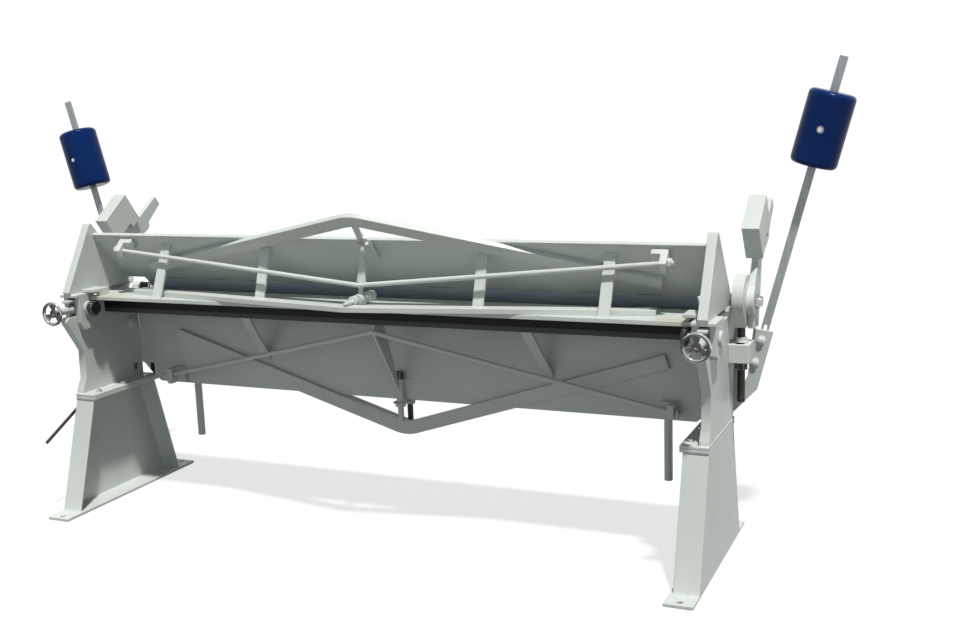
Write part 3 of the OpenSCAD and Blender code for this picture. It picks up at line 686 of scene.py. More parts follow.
@dataclass
class Plate:
    """One CAD node dressed as a real plate: edges broken, corners worn, faces smooth where they are round."""

    node: str
    body: str
    face: Material
    edge: Material
    slot: Slot = Slot.PAINT
    radius: float = EDGE.plain
    segments: int = 2
    zone: Optional[Callable[[Vector], bool]] = None
    zone_face: Optional[Material] = None
    merge: float = 2e-6
    flat_deg: float = 0.4
    smooth_deg: float = 30.0
    bevel_deg: float = 34.0

    def build(self) -> Object:
        """Copies the node's mesh, rounds its edges and replaces the node.

        Returns:
            The dressed piece.
        """
        piece = new_object(self.node + "_dressed", self.copy())
        bevel = piece.modifiers.new("broken_edges", "BEVEL")
        bevel.width = self.radius
        bevel.segments = self.segments
        bevel.limit_method = "ANGLE"
        bevel.angle_limit = math.radians(self.bevel_deg)
        bevel.use_clamp_overlap = False
        bevel.miter_outer = "MITER_ARC"
        bevel.material = 1
        bevel.harden_normals = False
        even = piece.modifiers.new("even_shading", "WEIGHTED_NORMAL")
        even.keep_sharp = False
        even.mode = "FACE_AREA"
        mended = Tiler(baked(piece).data).run()
        if mended:
            LOG.info("%s: %d folded faces tiled anew", self.node, mended)
        return settle(piece, self.body, [self.node])

    def copy(self) -> Mesh:
        """The node's mesh with its flat faces whole, and its materials set.

        Returns:
            The new mesh.
        """
        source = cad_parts[self.node]
        bm = bmesh.new()
        bm.from_mesh(source.data)
        bm.transform(source.matrix_world)
        bmesh.ops.remove_doubles(bm, verts=bm.verts, dist=self.merge)
        bmesh.ops.dissolve_limit(bm, angle_limit=math.radians(self.flat_deg), verts=bm.verts, edges=bm.edges)
        mesh = bpy.data.meshes.new(self.node + "_dressed")
        bm.to_mesh(mesh)
        bm.free()
        mesh.materials.clear()
        for material in (self.face, self.edge, self.zone_face):
            if material is not None:
                mesh.materials.append(material)
        kinds = [2 if self.zone and self.zone(p.center) else 0 for p in mesh.polygons]
        mesh.polygons.foreach_set("material_index", kinds)
        finish_mesh(mesh, self.smooth_deg)
        return mesh


# Geometry nodes for what repeats


class NodeTree:
    """A geometry node tree with named inputs."""

    smooth_deg: float = 35.0

    def __init__(self, name: str, inputs: Sequence[tuple[str, str, object]]) -> None:
        """Starts a tree.

        Args:
            name: The tree's name.
            inputs: Triples of socket kind, name and default.
        """
        self.tree = bpy.data.node_groups.new(name, "GeometryNodeTree")
        face = self.tree.interface
        face.new_socket(name="Geometry", in_out="INPUT", socket_type="NodeSocketGeometry")
        for kind, label, default in inputs:
            made = face.new_socket(name=label, in_out="INPUT", socket_type="NodeSocket" + kind)
            if default is not None:
                made.default_value = default
        face.new_socket(name="Geometry", in_out="OUTPUT", socket_type="NodeSocketGeometry")
        self.given = self.tree.nodes.new("NodeGroupInput").outputs
        self.result = self.tree.nodes.new("NodeGroupOutput").inputs[0]

    def node(self, kind: str, **values: object) -> bpy.types.Node:
        """Adds a node by its full type name."""
        return add_node(self.tree, kind, values)

    def scaled(self, label: str, share: float, base: Union[Socket, float] = 0.0) -> Socket:
        """A named input times a share, on top of a base."""
        return reckoned(self.tree, "MULTIPLY_ADD", self.given[label], share, base)

    def lifted(self, shape: Socket, *terms: tuple[str, float]) -> Socket:
        """A shape moved up by the sum of named inputs, each with its share."""
        height: Union[Socket, float] = 0.0
        for label, share in terms:
            height = self.scaled(label, share, height)
        up = self.node("ShaderNodeCombineXYZ", Z=height)
        return self.node("GeometryNodeTransform", Geometry=shape, Translation=up.outputs[0]).outputs[0]

    def together(self, shapes: Sequence[Socket]) -> Socket:
        """Several shapes as one, the first at its head."""
        made = self.node("GeometryNodeJoinGeometry")
        for shape in reversed(shapes):
            self.tree.links.new(shape, made.inputs[0])
        return made.outputs[0]

    def turned(self, shape: Socket) -> Socket:
        """A shape stood at every given point, turned by the Turn input."""
        turn = self.node("FunctionNodeEulerToRotation", Euler=self.given["Turn"])
        spread = self.node("GeometryNodeInstanceOnPoints", Points=self.given["Geometry"], Instance=shape,
                           Rotation=turn.outputs[0])
        return spread.outputs[0]

    def close(self, out: Socket) -> "NodeTree":
        """Realizes the instances, sets the given material and ends the tree."""
        real = self.node("GeometryNodeRealizeInstances", Geometry=out)
        dressed = self.node("GeometryNodeSetMaterial", Geometry=real.outputs[0],
                            Material=self.given["Material"])
        self.tree.links.new(dressed.outputs[0], self.result)
        return self

    def apply(self, name: str, mesh: Mesh, **values: object) -> Object:
        """Runs the tree on a mesh and returns a plain mesh object.

        Args:
            name: The new object's name.
            mesh: Input geometry.
            values: Input values by name, with underscores for spaces.

        Returns:
            The finished object.
        """
        piece = new_object(name, mesh)
        modifier = piece.modifiers.new("repeat", "NODES")
        modifier.node_group = self.tree
        labels = {i.name: i.identifier for i in self.tree.interface.items_tree if i.in_out == "INPUT"}
        for key, value in values.items():
            modifier[labels[key.replace("_", " ")]] = value
        baked(piece)
        finish_mesh(piece.data, self.smooth_deg)
        return piece


def points_mesh(name: str, chains: Iterable[Sequence[Sequence[float]]]) -> Mesh:
    """A mesh of chains of points, with an edge between neighbours of a chain.

    Args:
        name: The mesh's name.
        chains: Runs of places in metres.

    Returns:
        The mesh.
    """
    places: list[tuple[float, ...]] = []
    edges: list[tuple[int, int]] = []
    for chain in chains:
        first = len(places)
        places += [tuple(p) for p in chain]
        edges += [(i, i + 1) for i in range(first, len(places) - 1)]
    mesh = bpy.data.meshes.new(name)
    mesh.from_pydata(places, edges, [])
    return mesh


class Repeats:
    """The trees for hexagon bolts, weld beads and screw threads."""

    crown_rim: float = 0.84
    crown_top: float = 0.72
    crown_rise: float = 0.10
    ripple: Pair = (0.85, 1.15)

    def __init__(self) -> None:
        """Builds the three trees."""
        self.bolts = self.bolt_tree()
        self.beads = self.bead_tree()
        self.threads = self.thread_tree()

    def bolt_tree(self) -> NodeTree:
        """A washer, a hexagon with a turned crown and a thread end at every point.

        Returns:
            The tree.
        """
        t = NodeTree("hexagon_bolts", [
            ("Float", "Head Radius", 0.011), ("Float", "Head Height", 0.008),
            ("Float", "Washer Radius", 0.015), ("Float", "Washer Height", 0.003),
            ("Float", "End Radius", 0.006), ("Float", "End Height", 0.003),
            ("Vector", "Turn", (0.0, 0.0, 0.0)), ("Material", "Material", None)])

        def disc(label: str, sides: int) -> Socket:
            """A disc or hexagon by the radius and height inputs of one part of the bolt."""
            made = t.node("GeometryNodeMeshCylinder", Vertices=sides, Radius=t.given[label + " Radius"],
                          Depth=t.given[label + " Height"])
            return made.outputs["Mesh"]

        crown = t.node("GeometryNodeMeshCone", Vertices=40,
                       Radius_Bottom=t.scaled("Head Radius", self.crown_rim),
                       Radius_Top=t.scaled("Head Radius", self.crown_top),
                       Depth=t.scaled("Head Height", self.crown_rise))
        on_washer = ("Washer Height", 1.0)
        bolt = t.together([
            t.lifted(disc("Washer", 40), ("Washer Height", 0.5)),
            t.lifted(disc("Head", 6), on_washer, ("Head Height", 0.5)),
            t.lifted(crown.outputs["Mesh"], on_washer, ("Head Height", 1.0)),
            t.lifted(disc("End", 24), on_washer, ("Head Height", 1 + self.crown_rise), ("End Height", 0.5))])
        return t.close(t.turned(bolt))

    def bead_tree(self) -> NodeTree:
        """Overlapping weld ripples along a chain of edges.

        Returns:
            The tree.
        """
        t = NodeTree("weld_beads", [
            ("Float", "Radius", 0.003), ("Float", "Spacing", 0.0035), ("Int", "Seed", 3),
            ("Material", "Material", None)])
        curve = t.node("GeometryNodeMeshToCurve", Mesh=t.given["Geometry"])
        steps = t.node("GeometryNodeResampleCurve", mode="LENGTH", Curve=curve.outputs[0],
                       Length=t.given["Spacing"])
        drop = t.node("GeometryNodeMeshIcoSphere", Subdivisions=2, Radius=t.given["Radius"])
        vary = t.node("FunctionNodeRandomValue", data_type="FLOAT", Seed=t.given["Seed"])
        for socket, limit in zip(vary.inputs[2:4], self.ripple):
            socket.default_value = limit
        spread = t.node("GeometryNodeInstanceOnPoints", Points=steps.outputs[0],
                        Instance=drop.outputs["Mesh"], Scale=vary.outputs[1])
        return t.close(spread.outputs[0])

    def thread_tree(self) -> NodeTree:
        """A core with a helical ridge, stood at every point and turned.

        Returns:
            The tree.
        """
        t = NodeTree("screw_thread", [
            ("Float", "Radius", 0.012), ("Float", "Length", 0.1), ("Float", "Turns", 30.0),
            ("Float", "Ridge", 0.0014), ("Vector", "Turn", (0.0, 0.0, 0.0)), ("Material", "Material", None)])
        g = t.given
        spiral = t.node("GeometryNodeCurveSpiral", Resolution=28, Rotations=g["Turns"],
                        Start_Radius=g["Radius"], End_Radius=g["Radius"], Height=g["Length"])
        profile = t.node("GeometryNodeCurvePrimitiveCircle", Resolution=4, Radius=g["Ridge"])
        ridge = t.node("GeometryNodeCurveToMesh", Curve=spiral.outputs[0], Profile_Curve=profile.outputs[0])
        core = t.node("GeometryNodeMeshCylinder", Vertices=36, Radius=g["Radius"], Depth=g["Length"])
        raised = t.lifted(core.outputs["Mesh"], ("Length", 0.5))
        return t.close(t.turned(t.together([ridge.outputs[0], raised])))


@dataclass
class Workshop:
    """What every sub-assembly shares."""

    finishes: Finishes = field(default_factory=Finishes)
    repeats: Repeats = field(default_factory=Repeats)
    bead_spacing: float = 1.15
    bead_seed: int = 11
    ridge_share: float = 0.42

    def enamelled(self, body: str, nodes: Iterable[str], radius: float = EDGE.plain) -> None:
        """Dresses plain enamelled plates.

        Args:
            body: The body they move with.
            nodes: CAD nodes.
            radius: Radius of the broken edges.
        """
        for node in nodes:
            Plate(node, body, self.finishes.enamel, self.finishes.enamel_edge, radius=radius).build()

    def part_enamelled(self, body: str, node: str, zone: Callable[[Vector], bool], other: Material,
                       radius: float = EDGE.plain) -> None:
        """Dresses an enamelled plate that has another finish in one zone.

        Args:
            body: The body it moves with.
            node: The CAD node.
            zone: Tells from a face's middle whether it lies in the zone.
            other: The zone's finish.
            radius: Radius of the broken edges.
        """
        Plate(node, body, self.finishes.enamel, self.finishes.enamel_edge, radius=radius, zone=zone,
              zone_face=other).build()

    def metal(self, body: str, nodes: Iterable[str], material: Material, slot: Slot,
              radius: float = EDGE.fine) -> None:
        """Dresses bare metal pieces in one material.

        Args:
            body: The body they move with.
            nodes: CAD nodes.
            material: The metal.
            slot: The record's slot.
            radius: Radius of the broken edges.
        """
        for node in nodes:
            Plate(node, body, material, material, slot, radius).build()

    def bolts(self, name: str, points: Iterable[Point], turn: Point, **sizes: float) -> Object:
        """Sets plated hexagon bolts at points.

        Args:
            name: The piece's name.
            points: Seats of the washers.
            turn: Rotation of the bolt axis, from +Z.
            sizes: Input values of the bolt tree.

        Returns:
            The piece, not yet tied to a body.
        """
        seats = points_mesh(name, [[p] for p in points])
        return self.repeats.bolts.apply(name, seats, Turn=turn, Material=self.finishes.zinc, **sizes)

    def weld(self, name: str, body: str, chains: Sequence[Sequence[Point]], radius: float) -> Object:
        """Lays weld beads along chains of points.

        Args:
            name: The piece's name.
            body: The body they move with.
            chains: Runs of weld.
            radius: Radius of a bead.

        Returns:
            The piece.
        """
        piece = self.repeats.beads.apply(name, points_mesh(name, chains), Radius=radius,
                                         Spacing=radius * self.bead_spacing, Seed=self.bead_seed,
                                         Material=self.finishes.enamel)
        return settle(piece, body)

    def thread(self, name: str, body: str, start: Point, turn: Point, radius: float, length: float,
               pitch: float, material: Material, slot: Slot) -> Object:
        """Cuts a screw thread.

        Args:
            name: The piece's name.
            body: The body it moves with.
            start: Where the thread starts.
            turn: Rotation of the axis, from +Z.
            radius: Radius at the thread's root.
            length: Length of the thread.
            pitch: Distance between ridges.
            material: The metal.
            slot: Not used.

        Returns:
            The piece.
        """
        piece = self.repeats.threads.apply(name, points_mesh(name, [[start]]), Radius=radius, Length=length,
                                           Turns=length / pitch, Ridge=pitch * self.ridge_share, Turn=turn,
                                           Material=material)
        return settle(piece, body)


# Sub-assemblies


SLOPE = math.radians(46.1)
PLATE_TOP = Vector((0.0, -0.047, 1.126))
UP_SLOPE = Vector((0.0, -math.cos(SLOPE), math.sin(SLOPE)))
OUT_OF_FACE = Vector((0.0, -math.sin(SLOPE), -math.cos(SLOPE)))


def on_plate(x: float, s: float, w: float) -> Point:
    """A point given along the main plate, up its slope and out of its near face, all in metres."""
    return tuple(PLATE_TOP + Vector((x, 0.0, 0.0)) + UP_SLOPE * s + OUT_OF_FACE * w)


def plate_depth(p: Vector) -> float:
    """How far a point lies out of the main plate's near face, in metres."""
    return (p - PLATE_TOP).dot(OUT_OF_FACE)


def mirrored(chains: Sequence[Sequence[Point]]) -> list[list[Point]]:
    """Chains given for the right end, with their mirror images."""
    return [[end.at(*p) for p in chain] for end in End for chain in chains]


@dataclass
class Stands:
    """The two folded stands and the side frames bolted on them."""

    shop: Workshop
    body: str = "frame"
    flange_x: Pair = (1.245, 1.332)
    bolt_x: float = 1.259
    bolt_y: Point = (-0.136, 0.012, 0.160)
    bolt_z: float = 0.4772
    bolt_turn: Point = (0, 0, 0.3)
    joints: tuple[Pair, ...] = ((-0.1908, 0.4526), (-0.3286, 0.0126), (0.2018, 0.4526), (0.3216, 0.0126))
    bead: float = 0.0026

    def build(self) -> None:
        """Dresses stands, side frames, blocks and their bolts."""
        shop, zinc, dark = self.shop, self.shop.finishes.zinc, self.shop.finishes.thread
        for end in End:
            nodes = [f"{kind}_{end.tag}" for kind in ("stand", "side_frame", "anchor_block")]
            shop.enamelled(self.body, nodes, EDGE.thick)
        shop.enamelled(self.body, ["stop_block"], EDGE.light)
        shop.metal(self.body, ["foot_bolts"], dark, Slot.DARK, EDGE.sharp)
        seats = [end.at(self.bolt_x, y, self.bolt_z) for end in End for y in self.bolt_y]
        heads = shop.bolts("foot_bolt_heads", seats, self.bolt_turn, Head_Radius=0.0105, Head_Height=0.0068,
                           Washer_Radius=0.0128, Washer_Height=0.0016, End_Radius=0.0040, End_Height=0.0004)
        settle(heads, self.body)
        shop.metal(self.body, ["bed_end_bolts"], zinc, Slot.ZINC)
        shop.metal(self.body, ["leaf_pins"], zinc, Slot.ZINC, EDGE.crisp)
        shop.metal("stop_rod", ["stop_rod"], dark, Slot.DARK, EDGE.crisp)
        runs = [[(x, y, z) for x in self.flange_x] for y, z in self.joints]
        shop.weld("stand_welds", self.body, mirrored(runs), self.bead)


@dataclass
class Bed:
    """The trussed bed with its steel bar, tie rod and jack."""

    shop: Workshop
    body: str = "frame"
    plate_y: float = 0.1947
    jack_thread_z: float = 0.539
    strut_x: Pair = (0.613, 0.655)
    strut_z: Pair = (0.5775, 0.5962)
    right_bracket_x: Pair = (1.074, 1.132)
    right_bracket_z: Pair = (0.4728, 0.5252)
    left_bracket_x: Pair = (-1.054, -1.112)
    left_bracket_z: Pair = (0.4578, 0.5252)
    bead: float = 0.0028

    def build(self) -> None:
        """Dresses the bed's plates and rods and welds them."""
        shop = self.shop
        # The bed bar's near-black colour is partly painted shade.
        shop.metal(self.body, ["bed_bar"], shop.finishes.bed, Slot.DARK, EDGE.eased)
        shop.metal(self.body, ["bed_rail"], shop.finishes.rail, Slot.DARK, EDGE.slight)
        shop.enamelled(self.body, ["bed_plate", "bed_truss_bar", "bed_struts", "bed_tie_rod"])
        # Above jack_thread_z the jack takes the dark thread colour: partly its bare nut, partly painted
        # shade.
        shop.part_enamelled(self.body, "bed_jack", lambda p: p.z > self.jack_thread_z, shop.finishes.thread,
                            EDGE.eased)
        shop.enamelled(self.body, ["bed_tie_brackets"], EDGE.heavy)
        chains = mirrored(self.runs(self.strut_x, self.strut_z))
        chains += self.runs(self.right_bracket_x, self.right_bracket_z)
        chains += self.runs(self.left_bracket_x, self.left_bracket_z)
        shop.weld("bed_welds", self.body, chains, self.bead)

    def runs(self, across: Pair, heights: Pair) -> list[list[Point]]:
        """Two runs of weld across the bed plate, one at each height."""
        return [[(x, self.plate_y, z) for x in across] for z in heights]


@dataclass
class Beam:
    """The clamping beam: plates, blade, truss bars, struts, tie rod and jacks."""

    shop: Workshop
    body: str = "beam"
    main_length: float = 0.284
    blade_back: float = -0.0120
    boss: Pair = (-0.004, 0.012)
    boss_radius: float = 0.0158
    boss_face: float = 0.0150
    stud: Point = (1.4272, 0.169, 0.908)
    stud_thread: Point = (0.0172, 0.0090, 0.0025)
    stitch: float = 0.105
    stitch_count: int = 12
    stitch_run: float = 2.39
    stitch_depth: float = -0.0014
    stitch_bead: float = 0.0026
    # Painted shade: the dark strips between the stitches stand in for the shadow of the gap above the blade.
    shade_strip_clearance: float = 0.004
    shade_strip_section: tuple[Pair, ...] = (
        (-0.0030, -0.0029), (0.0002, -0.0029), (0.0002, 0.0002), (-0.0006, 0.0002))
    strut_welds: tuple[tuple[Pair, Pair], ...] = (
        ((-0.1066, 0.8806), (-0.0150, 1.0915)), ((-0.0846, 0.8806), (-0.0150, 1.0912)))
    strut_x: Pair = (0.9475, 0.4673)
    strut_half: float = 0.020
    bracket_x: Pair = (1.104, 1.158)
    bracket_s: Pair = (-0.0148, -0.0632)
    end_x: float = 1.2968
    end_s: Pair = (-0.278, -0.006)
    bead: float = 0.0030

    def build(self) -> None:
        """Dresses the beam and welds it."""
        shop, looks = self.shop, self.shop.finishes
        shop.enamelled(self.body, [f"end_plate_{end.tag}" for end in End], EDGE.thick)
        shop.enamelled(self.body, ["main_plate", "upper_truss_bar", "lower_truss_bar", "beam_struts",
                                   "beam_tie_rod", "beam_tie_nuts", "lower_jack", "end_bridges"])
        shop.enamelled(self.body, ["beam_tie_brackets"], EDGE.heavy)
        shop.part_enamelled(self.body, "upper_jack", self.on_boss, looks.bar, EDGE.full)
        Plate("bottom_plate", self.body, looks.shelf_enamel, looks.enamel_edge).build()
        # The blade's near face takes the paler colour, painted light for its shaded recess.
        Plate("blade", self.body, looks.blade, looks.blade, Slot.STEEL, EDGE.crisp,
              zone=lambda p: plate_depth(p) > self.blade_back, zone_face=looks.blade_root).build()
        shop.metal(self.body, ["lever_studs"], looks.zinc, Slot.ZINC, EDGE.slight)
        self.stitches()
        self.fillets()
        for end in End:
            turn = (0, end.value * math.pi / 2, 0)
            shop.thread(f"stud_thread_{end.tag}", self.body, end.at(*self.stud), turn, *self.stud_thread,
                        looks.zinc, Slot.ZINC)

    def on_boss(self, p: Vector) -> bool:
        """Whether a face of the strap lies on the bolt through its boss."""
        x, s = self.boss
        near = math.hypot(p.x - x, (p - PLATE_TOP).dot(UP_SLOPE) - s) < self.boss_radius
        return near and plate_depth(p) > self.boss_face

    def stitches(self) -> None:
        """Lays stitches along the blade, and thin dark strips between them: painted shade for the gap at the
        blade's top.
        """
        shade_strips = Forge()
        pitch = (self.stitch_run - self.stitch) / (self.stitch_count - 1)
        half = self.stitch / 2
        middles = [i * pitch - self.stitch_run / 2 + half for i in range(self.stitch_count)]
        for a, b in zip(middles, middles[1:]):
            shade_strips.ring_stack([[Vector(on_plate(x, ds - self.main_length, dw)) for ds, dw in self.shade_strip_section]
                             for x in (a + half + self.shade_strip_clearance, b - half - self.shade_strip_clearance)])
        runs = [[on_plate(x + d, -self.main_length, self.stitch_depth) for d in (-half, half)]
                for x in middles]
        self.shop.weld("blade_stitches", self.body, runs, self.stitch_bead)
        settle(shade_strips.object("blade_gap_painted_shade", self.shop.finishes.thread, 20.0), self.body)

    def fillets(self) -> None:
        """Welds struts, brackets and end plates to the main and bottom plates."""
        chains = []
        for x, feet in zip(self.strut_x, self.strut_welds):
            chains += [[(x - self.strut_half, y, z), (x + self.strut_half, y, z)] for y, z in feet]
        lift = self.bead / 5
        chains += [[on_plate(x, s, lift) for x in self.bracket_x] for s in self.bracket_s]
        chains.append([on_plate(self.end_x, s, 2 * lift) for s in self.end_s])
        self.shop.weld("beam_welds", self.body, mirrored(chains), self.bead)


@dataclass
class Carriage:
    """The setback carriage with its handwheels and lock knobs."""

    shop: Workshop
    axis_z: float = 0.834
    pin_y: float = -0.140
    knob_x: float = 1.2633
    grip: float = 0.024
    flutes: int = 9
    flute_depth: float = 0.0022
    steps: int = 108
    profile: tuple[Pair, ...] = (
        (0.0170, 0.0), (0.0195, 0.0006), (0.0198, 0.0100), (0.0215, 0.0125), (0.0270, 0.0140),
        (0.0310, 0.0160), (0.0325, 0.0190), (0.0328, 0.0250), (0.0318, 0.0295), (0.0290, 0.0322),
        (0.0230, 0.0332), (0.0150, 0.0334), (0.0135, 0.0326), (0.0001, 0.0324))

    def build(self) -> None:
        """Dresses the pins, screws and wheels and builds the knobs."""
        shop, chrome = self.shop, self.shop.finishes.chrome
        shop.metal("carriage", ["trunnion_blocks"], shop.finishes.bar, Slot.STEEL, EDGE.slight)
        shop.enamelled("carriage", ["pivot_pins"], EDGE.eased)
        for end in End:
            wheel = f"handwheel_{end.tag}"
            shop.enamelled(wheel, [f"screw_{end.tag}"], EDGE.light)
            Plate(wheel, wheel, chrome, chrome, Slot.CHROME, EDGE.eased, segments=3).build()
            self.knob(end)

    def knob(self, end: End) -> None:
        """Builds one fluted lock knob.

        Args:
            end: Which end of the machine.
        """
        forge = Forge()
        place = along((-end.value, 0, 0), end.at(self.knob_x, self.pin_y, self.axis_z))
        forge.lathe(self.profile, place, self.steps, self.fluted)
        name = f"knob_{end.tag}"
        settle(forge.object("fluted_" + name, self.shop.finishes.knob, 40.0), name, [name])

    def fluted(self, r: float, a: float) -> float:
        """The knob's radius at an angle, with hollows round its grip."""
        return r if r < self.grip else r - self.flute_depth * max(0.0, math.cos(self.flutes * a)) ** 1.4


@dataclass
class Clamps:
    """The clamp levers with their weight blocks, eye bolts and nuts."""

    shop: Workshop
    shank: Pair = (1.368, 0.15486)
    root_radius: float = 0.0126
    pitch: float = 0.0030
    runs: tuple[Pair, ...] = ((0.5502, 0.6664), (0.7832, 0.8176))
    bare_shank_z: float = 0.80
    lower_nut_z: float = 0.70

    def build(self) -> None:
        """Dresses both clamps and cuts the threads of the eye bolts."""
        shop, dark = self.shop, self.shop.finishes.thread
        for end in End:
            body, lever = f"eye_bolt_{end.tag}", f"lever_{end.tag}"
            shop.enamelled(lever, [lever, f"lever_weight_{end.tag}"], EDGE.broad)
            shop.part_enamelled(body, body, lambda p: p.z < self.bare_shank_z, dark)
            shop.part_enamelled(body, f"eye_nuts_{end.tag}", lambda p: p.z < self.lower_nut_z, dark,
                                EDGE.slight)
            for k, (low, high) in enumerate(self.runs):
                shop.thread(f"shank_thread_{end.tag}_{k}", body, end.at(*self.shank, low), (0, 0, 0),
                            self.root_radius, high - low, self.pitch, dark, Slot.DARK)


@dataclass(frozen=True)
class BalanceBar:
    """Where the flat bars stand: foot and lean of the right one, the left one being its mirror image."""

    foot: Pair = (1.386, 0.640)
    splay: float = math.radians(15)

    def at(self, s: float) -> Pair:
        """X and Z of the right bar's middle line, a way up from its foot."""
        x, z = self.foot
        return (x + s * math.sin(self.splay), z + s * math.cos(self.splay))


@dataclass
class Leaf:
    """The folding leaf with its truss bar, handles, brackets and bars."""

    shop: Workshop
    bar: BalanceBar = BalanceBar()
    body: str = "leaf"
    bolt_at: Pair = (0.030, 0.115)
    near_seat: float = 0.26595
    far_seat: float = 0.29045
    jaw_y: float = 0.2365
    jack_thread_z: float = 0.417

    def build(self) -> None:
        """Dresses the leaf and sets the bracket bolts."""
        shop, looks = self.shop, self.shop.finishes
        shop.enamelled(self.body, ["leaf_truss_bar", "leaf_handles", "bar_brackets"])
        # The near face takes the near-black bed colour: partly its bare working steel, partly painted shade
        # in the gap behind the bed plate.
        shop.part_enamelled(self.body, "leaf_plate", lambda p: p.y < self.jaw_y, looks.bed)
        shop.part_enamelled(self.body, "leaf_jack", lambda p: p.z < self.jack_thread_z, looks.thread)
        shop.metal(self.body, ["bar_right", "bar_left"], looks.bar, Slot.STEEL, EDGE.light)
        self.bolts()

    def bolts(self) -> None:
        """Sets the heads and nuts that hold the bars."""
        heads = self.shop.bolts("bar_bolt_heads", self.seats(self.near_seat), (math.pi / 2, 0, 0),
                                Head_Radius=0.0115, Head_Height=0.0077, Washer_Radius=0.016,
                                Washer_Height=0.0029, End_Radius=0.0046, End_Height=0.0004)
        nuts = self.shop.bolts("bar_bolt_nuts", self.seats(self.far_seat), (-math.pi / 2, 0, 0),
                               Head_Radius=0.0115, Head_Height=0.0075, Washer_Radius=0.0135,
                               Washer_Height=0.0016, End_Radius=0.006, End_Height=0.0025)
        settle(joined("bar_bolts_dressed", [heads, nuts]), self.body, ["bar_bolts"])

    def seats(self, y: float) -> list[Point]:
        """The bolts' places at a depth, on both bars."""
        return [end.at(x, y, z) for end in End for x, z in map(self.bar.at, self.bolt_at)]


@dataclass
class Counterweights:
    """The two blue weights on the splayed bars."""

    shop: Workshop
    bar: BalanceBar = BalanceBar()
    middle: Pair = (0.880, 0.813)
    screw_radius: float = 0.0106
    screw_y: float = 0.225

    def build(self) -> None:
        """Dresses both weights with their plated lock screws."""
        looks = self.shop.finishes
        for end, s in zip(End, self.middle):
            node = f"counterweight_{end.tag}"
            x, z = self.bar.at(s)

            def screw(p: Vector, x: float = end.value * x, z: float = z) -> bool:
                """Whether a face belongs to the lock screw."""
                return math.hypot(p.x - x, p.z - z) < self.screw_radius and p.y < self.screw_y

            Plate(node, node, looks.blue, looks.blue_edge, Slot.BLUE, EDGE.slight, zone=screw,
                  zone_face=looks.zinc).build()


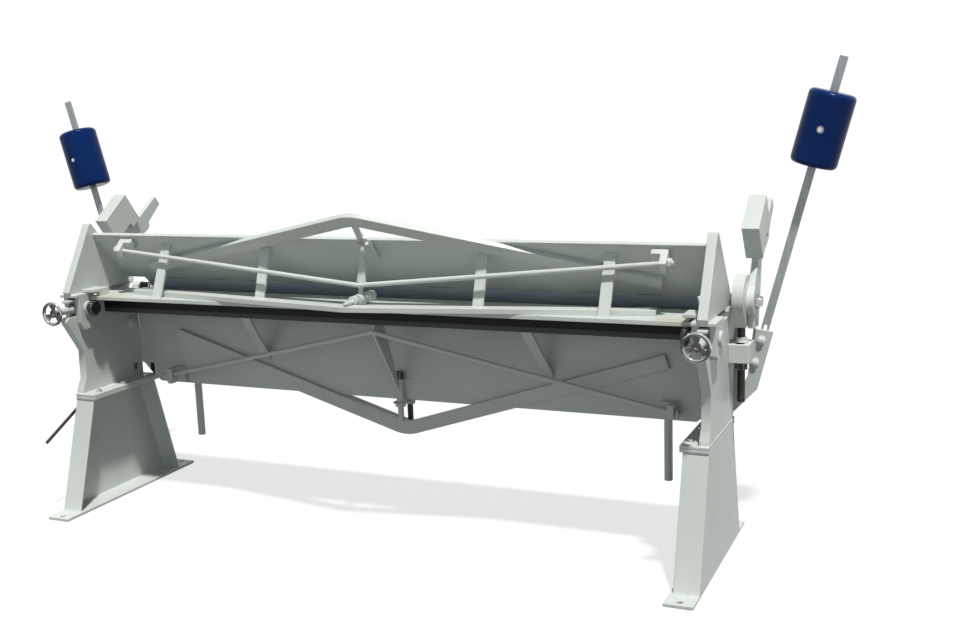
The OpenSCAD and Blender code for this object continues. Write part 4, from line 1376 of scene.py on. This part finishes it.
@dataclass
class Studio:
    """Floor, light and camera."""

    eye: Point = (2.1708, -3.9101, 1.6260)
    yaw_deg: float = 23.87
    pitch_deg: float = 10.54
    roll_deg: float = -1.97
    focal_px: float = 1181.85
    image_width: int = 960
    sensor_mm: float = 36.0
    far_clip: float = 200.0
    sky: float = 0.20
    near_sky: float = 0.62
    near_band: Pair = (-0.85, -0.30)
    low_band: Pair = (0.14, 0.46)
    sky_tint: Point = (0.84, 0.93, 1.0)
    floor_half: float = 60.0
    floor_z: float = -0.0005
    floor_bounce: Point = (0.16, 0.16, 0.155)
    floor_seen: Point = (0.86, 0.86, 0.86)
    floor_glow: float = 0.74
    key_energy: float = 3.9
    key_angle_deg: float = 3.0
    key_colour: Point = (1.0, 0.99, 0.97)
    key_from: Point = (0.241, -0.297, 0.924)
    key_place: Point = (3.0, -3.0, 5.0)

    def build(self) -> None:
        """Sets the stage."""
        self.camera()
        self.floor()
        self.world()
        self.lamps()
        bpy.context.scene.view_settings.view_transform = "Standard"

    def camera(self) -> None:
        """Places the camera found from the photograph's straight edges."""
        yaw, pitch, roll = (math.radians(a) for a in (self.yaw_deg, self.pitch_deg, self.roll_deg))
        ahead = Vector((-math.sin(yaw) * math.cos(pitch), math.cos(yaw) * math.cos(pitch), -math.sin(pitch)))
        right = Vector((math.cos(yaw), math.sin(yaw), 0))
        up = right.cross(ahead)
        side = right * math.cos(roll) + up * math.sin(roll)
        top = up * math.cos(roll) - right * math.sin(roll)
        data = bpy.data.cameras.new("camera")
        data.sensor_fit = "HORIZONTAL"
        data.sensor_width = self.sensor_mm
        data.lens = self.focal_px * self.sensor_mm / self.image_width
        data.clip_end = self.far_clip
        made = bpy.data.objects.new("camera", data)
        turn = Matrix((side, top, -ahead)).transposed().to_4x4()
        made.matrix_world = Matrix.Translation(Vector(self.eye)) @ turn
        bpy.context.scene.collection.objects.link(made)
        bpy.context.scene.camera = made

    def floor(self) -> None:
        """Lays a plain pale floor that keeps the machine's shadow."""
        far, z = self.floor_half, self.floor_z
        mesh = bpy.data.meshes.new("floor")
        mesh.from_pydata([(-far, -far, z), (far, -far, z), (far, far, z), (-far, far, z)], [], [(0, 1, 2, 3)])
        s = Shading("pale_floor")
        s.shader.inputs["Roughness"].default_value = 0.9
        s.shader.inputs["Specular IOR Level"].default_value = 0.0
        seen = seen_rays(s.tree)
        s.link(s.mix(seen, self.floor_bounce, self.floor_seen), s.shader.inputs["Base Color"])
        glow = s.node("Emission", Strength=1.0)
        share = reckoned(s.tree, "MULTIPLY", seen, self.floor_glow)
        blend = s.node("MixShader")
        for source, socket in zip((share, s.shader.outputs[0], glow.outputs[0]), blend.inputs):
            s.link(source, socket)
        s.link(blend.outputs[0], s.tree.nodes["Material Output"].inputs["Surface"])
        mesh.materials.append(s.material)
        new_object("floor", mesh)

    def world(self) -> None:
        """A white surround for what is seen, and a softer one for light, brighter low on the near side."""
        made = bpy.data.worlds.new("surround")
        made.use_nodes = True
        tree = made.node_tree
        ways = tree.nodes.new("ShaderNodeTexCoord").outputs["Generated"]
        split = add_node(tree, "ShaderNodeSeparateXYZ", {"Vector": ways}).outputs
        bands = []
        for axis, (full, none) in (("Y", self.near_band), ("Z", self.low_band)):
            fade = {"Value": split[axis], "From_Min": full, "From_Max": none, "To_Min": 1.0, "To_Max": 0.0}
            bands.append(add_node(tree, "ShaderNodeMapRange", fade).outputs["Result"])
        lit = tree.nodes["Background"]
        lit.inputs["Color"].default_value = (*self.sky_tint, 1)
        level = reckoned(tree, "MULTIPLY_ADD", reckoned(tree, "MULTIPLY", *bands), self.near_sky, self.sky)
        tree.links.new(level, lit.inputs["Strength"])
        white = add_node(tree, "ShaderNodeBackground", {"Color": (1, 1, 1, 1), "Strength": 1.0})
        mixed = tree.nodes.new("ShaderNodeMixShader")
        for source, socket in zip((seen_rays(tree), lit.outputs[0], white.outputs[0]), mixed.inputs):
            tree.links.new(source, socket)
        tree.links.new(mixed.outputs[0], tree.nodes["World Output"].inputs["Surface"])
        bpy.context.scene.world = made

    def lamps(self) -> None:
        """A high soft key from the near right."""
        data = bpy.data.lights.new("key", "SUN")
        data.energy = self.key_energy
        data.angle = math.radians(self.key_angle_deg)
        data.color = self.key_colour
        key = bpy.data.objects.new("key", data)
        key.matrix_world = along(self.key_from, self.key_place)
        bpy.context.scene.collection.objects.link(key)


def main() -> None:
    """Builds the studio and every sub-assembly in order."""
    logging.basicConfig(level=logging.INFO, format="%(message)s")
    Studio().build()
    shop = Workshop()
    for assembly in (Stands, Bed, Beam, Carriage, Clamps, Leaf, Counterweights):
        LOG.info("building %s", assembly.__name__)
        assembly(shop).build()


if __name__ == "__main__":
    main()
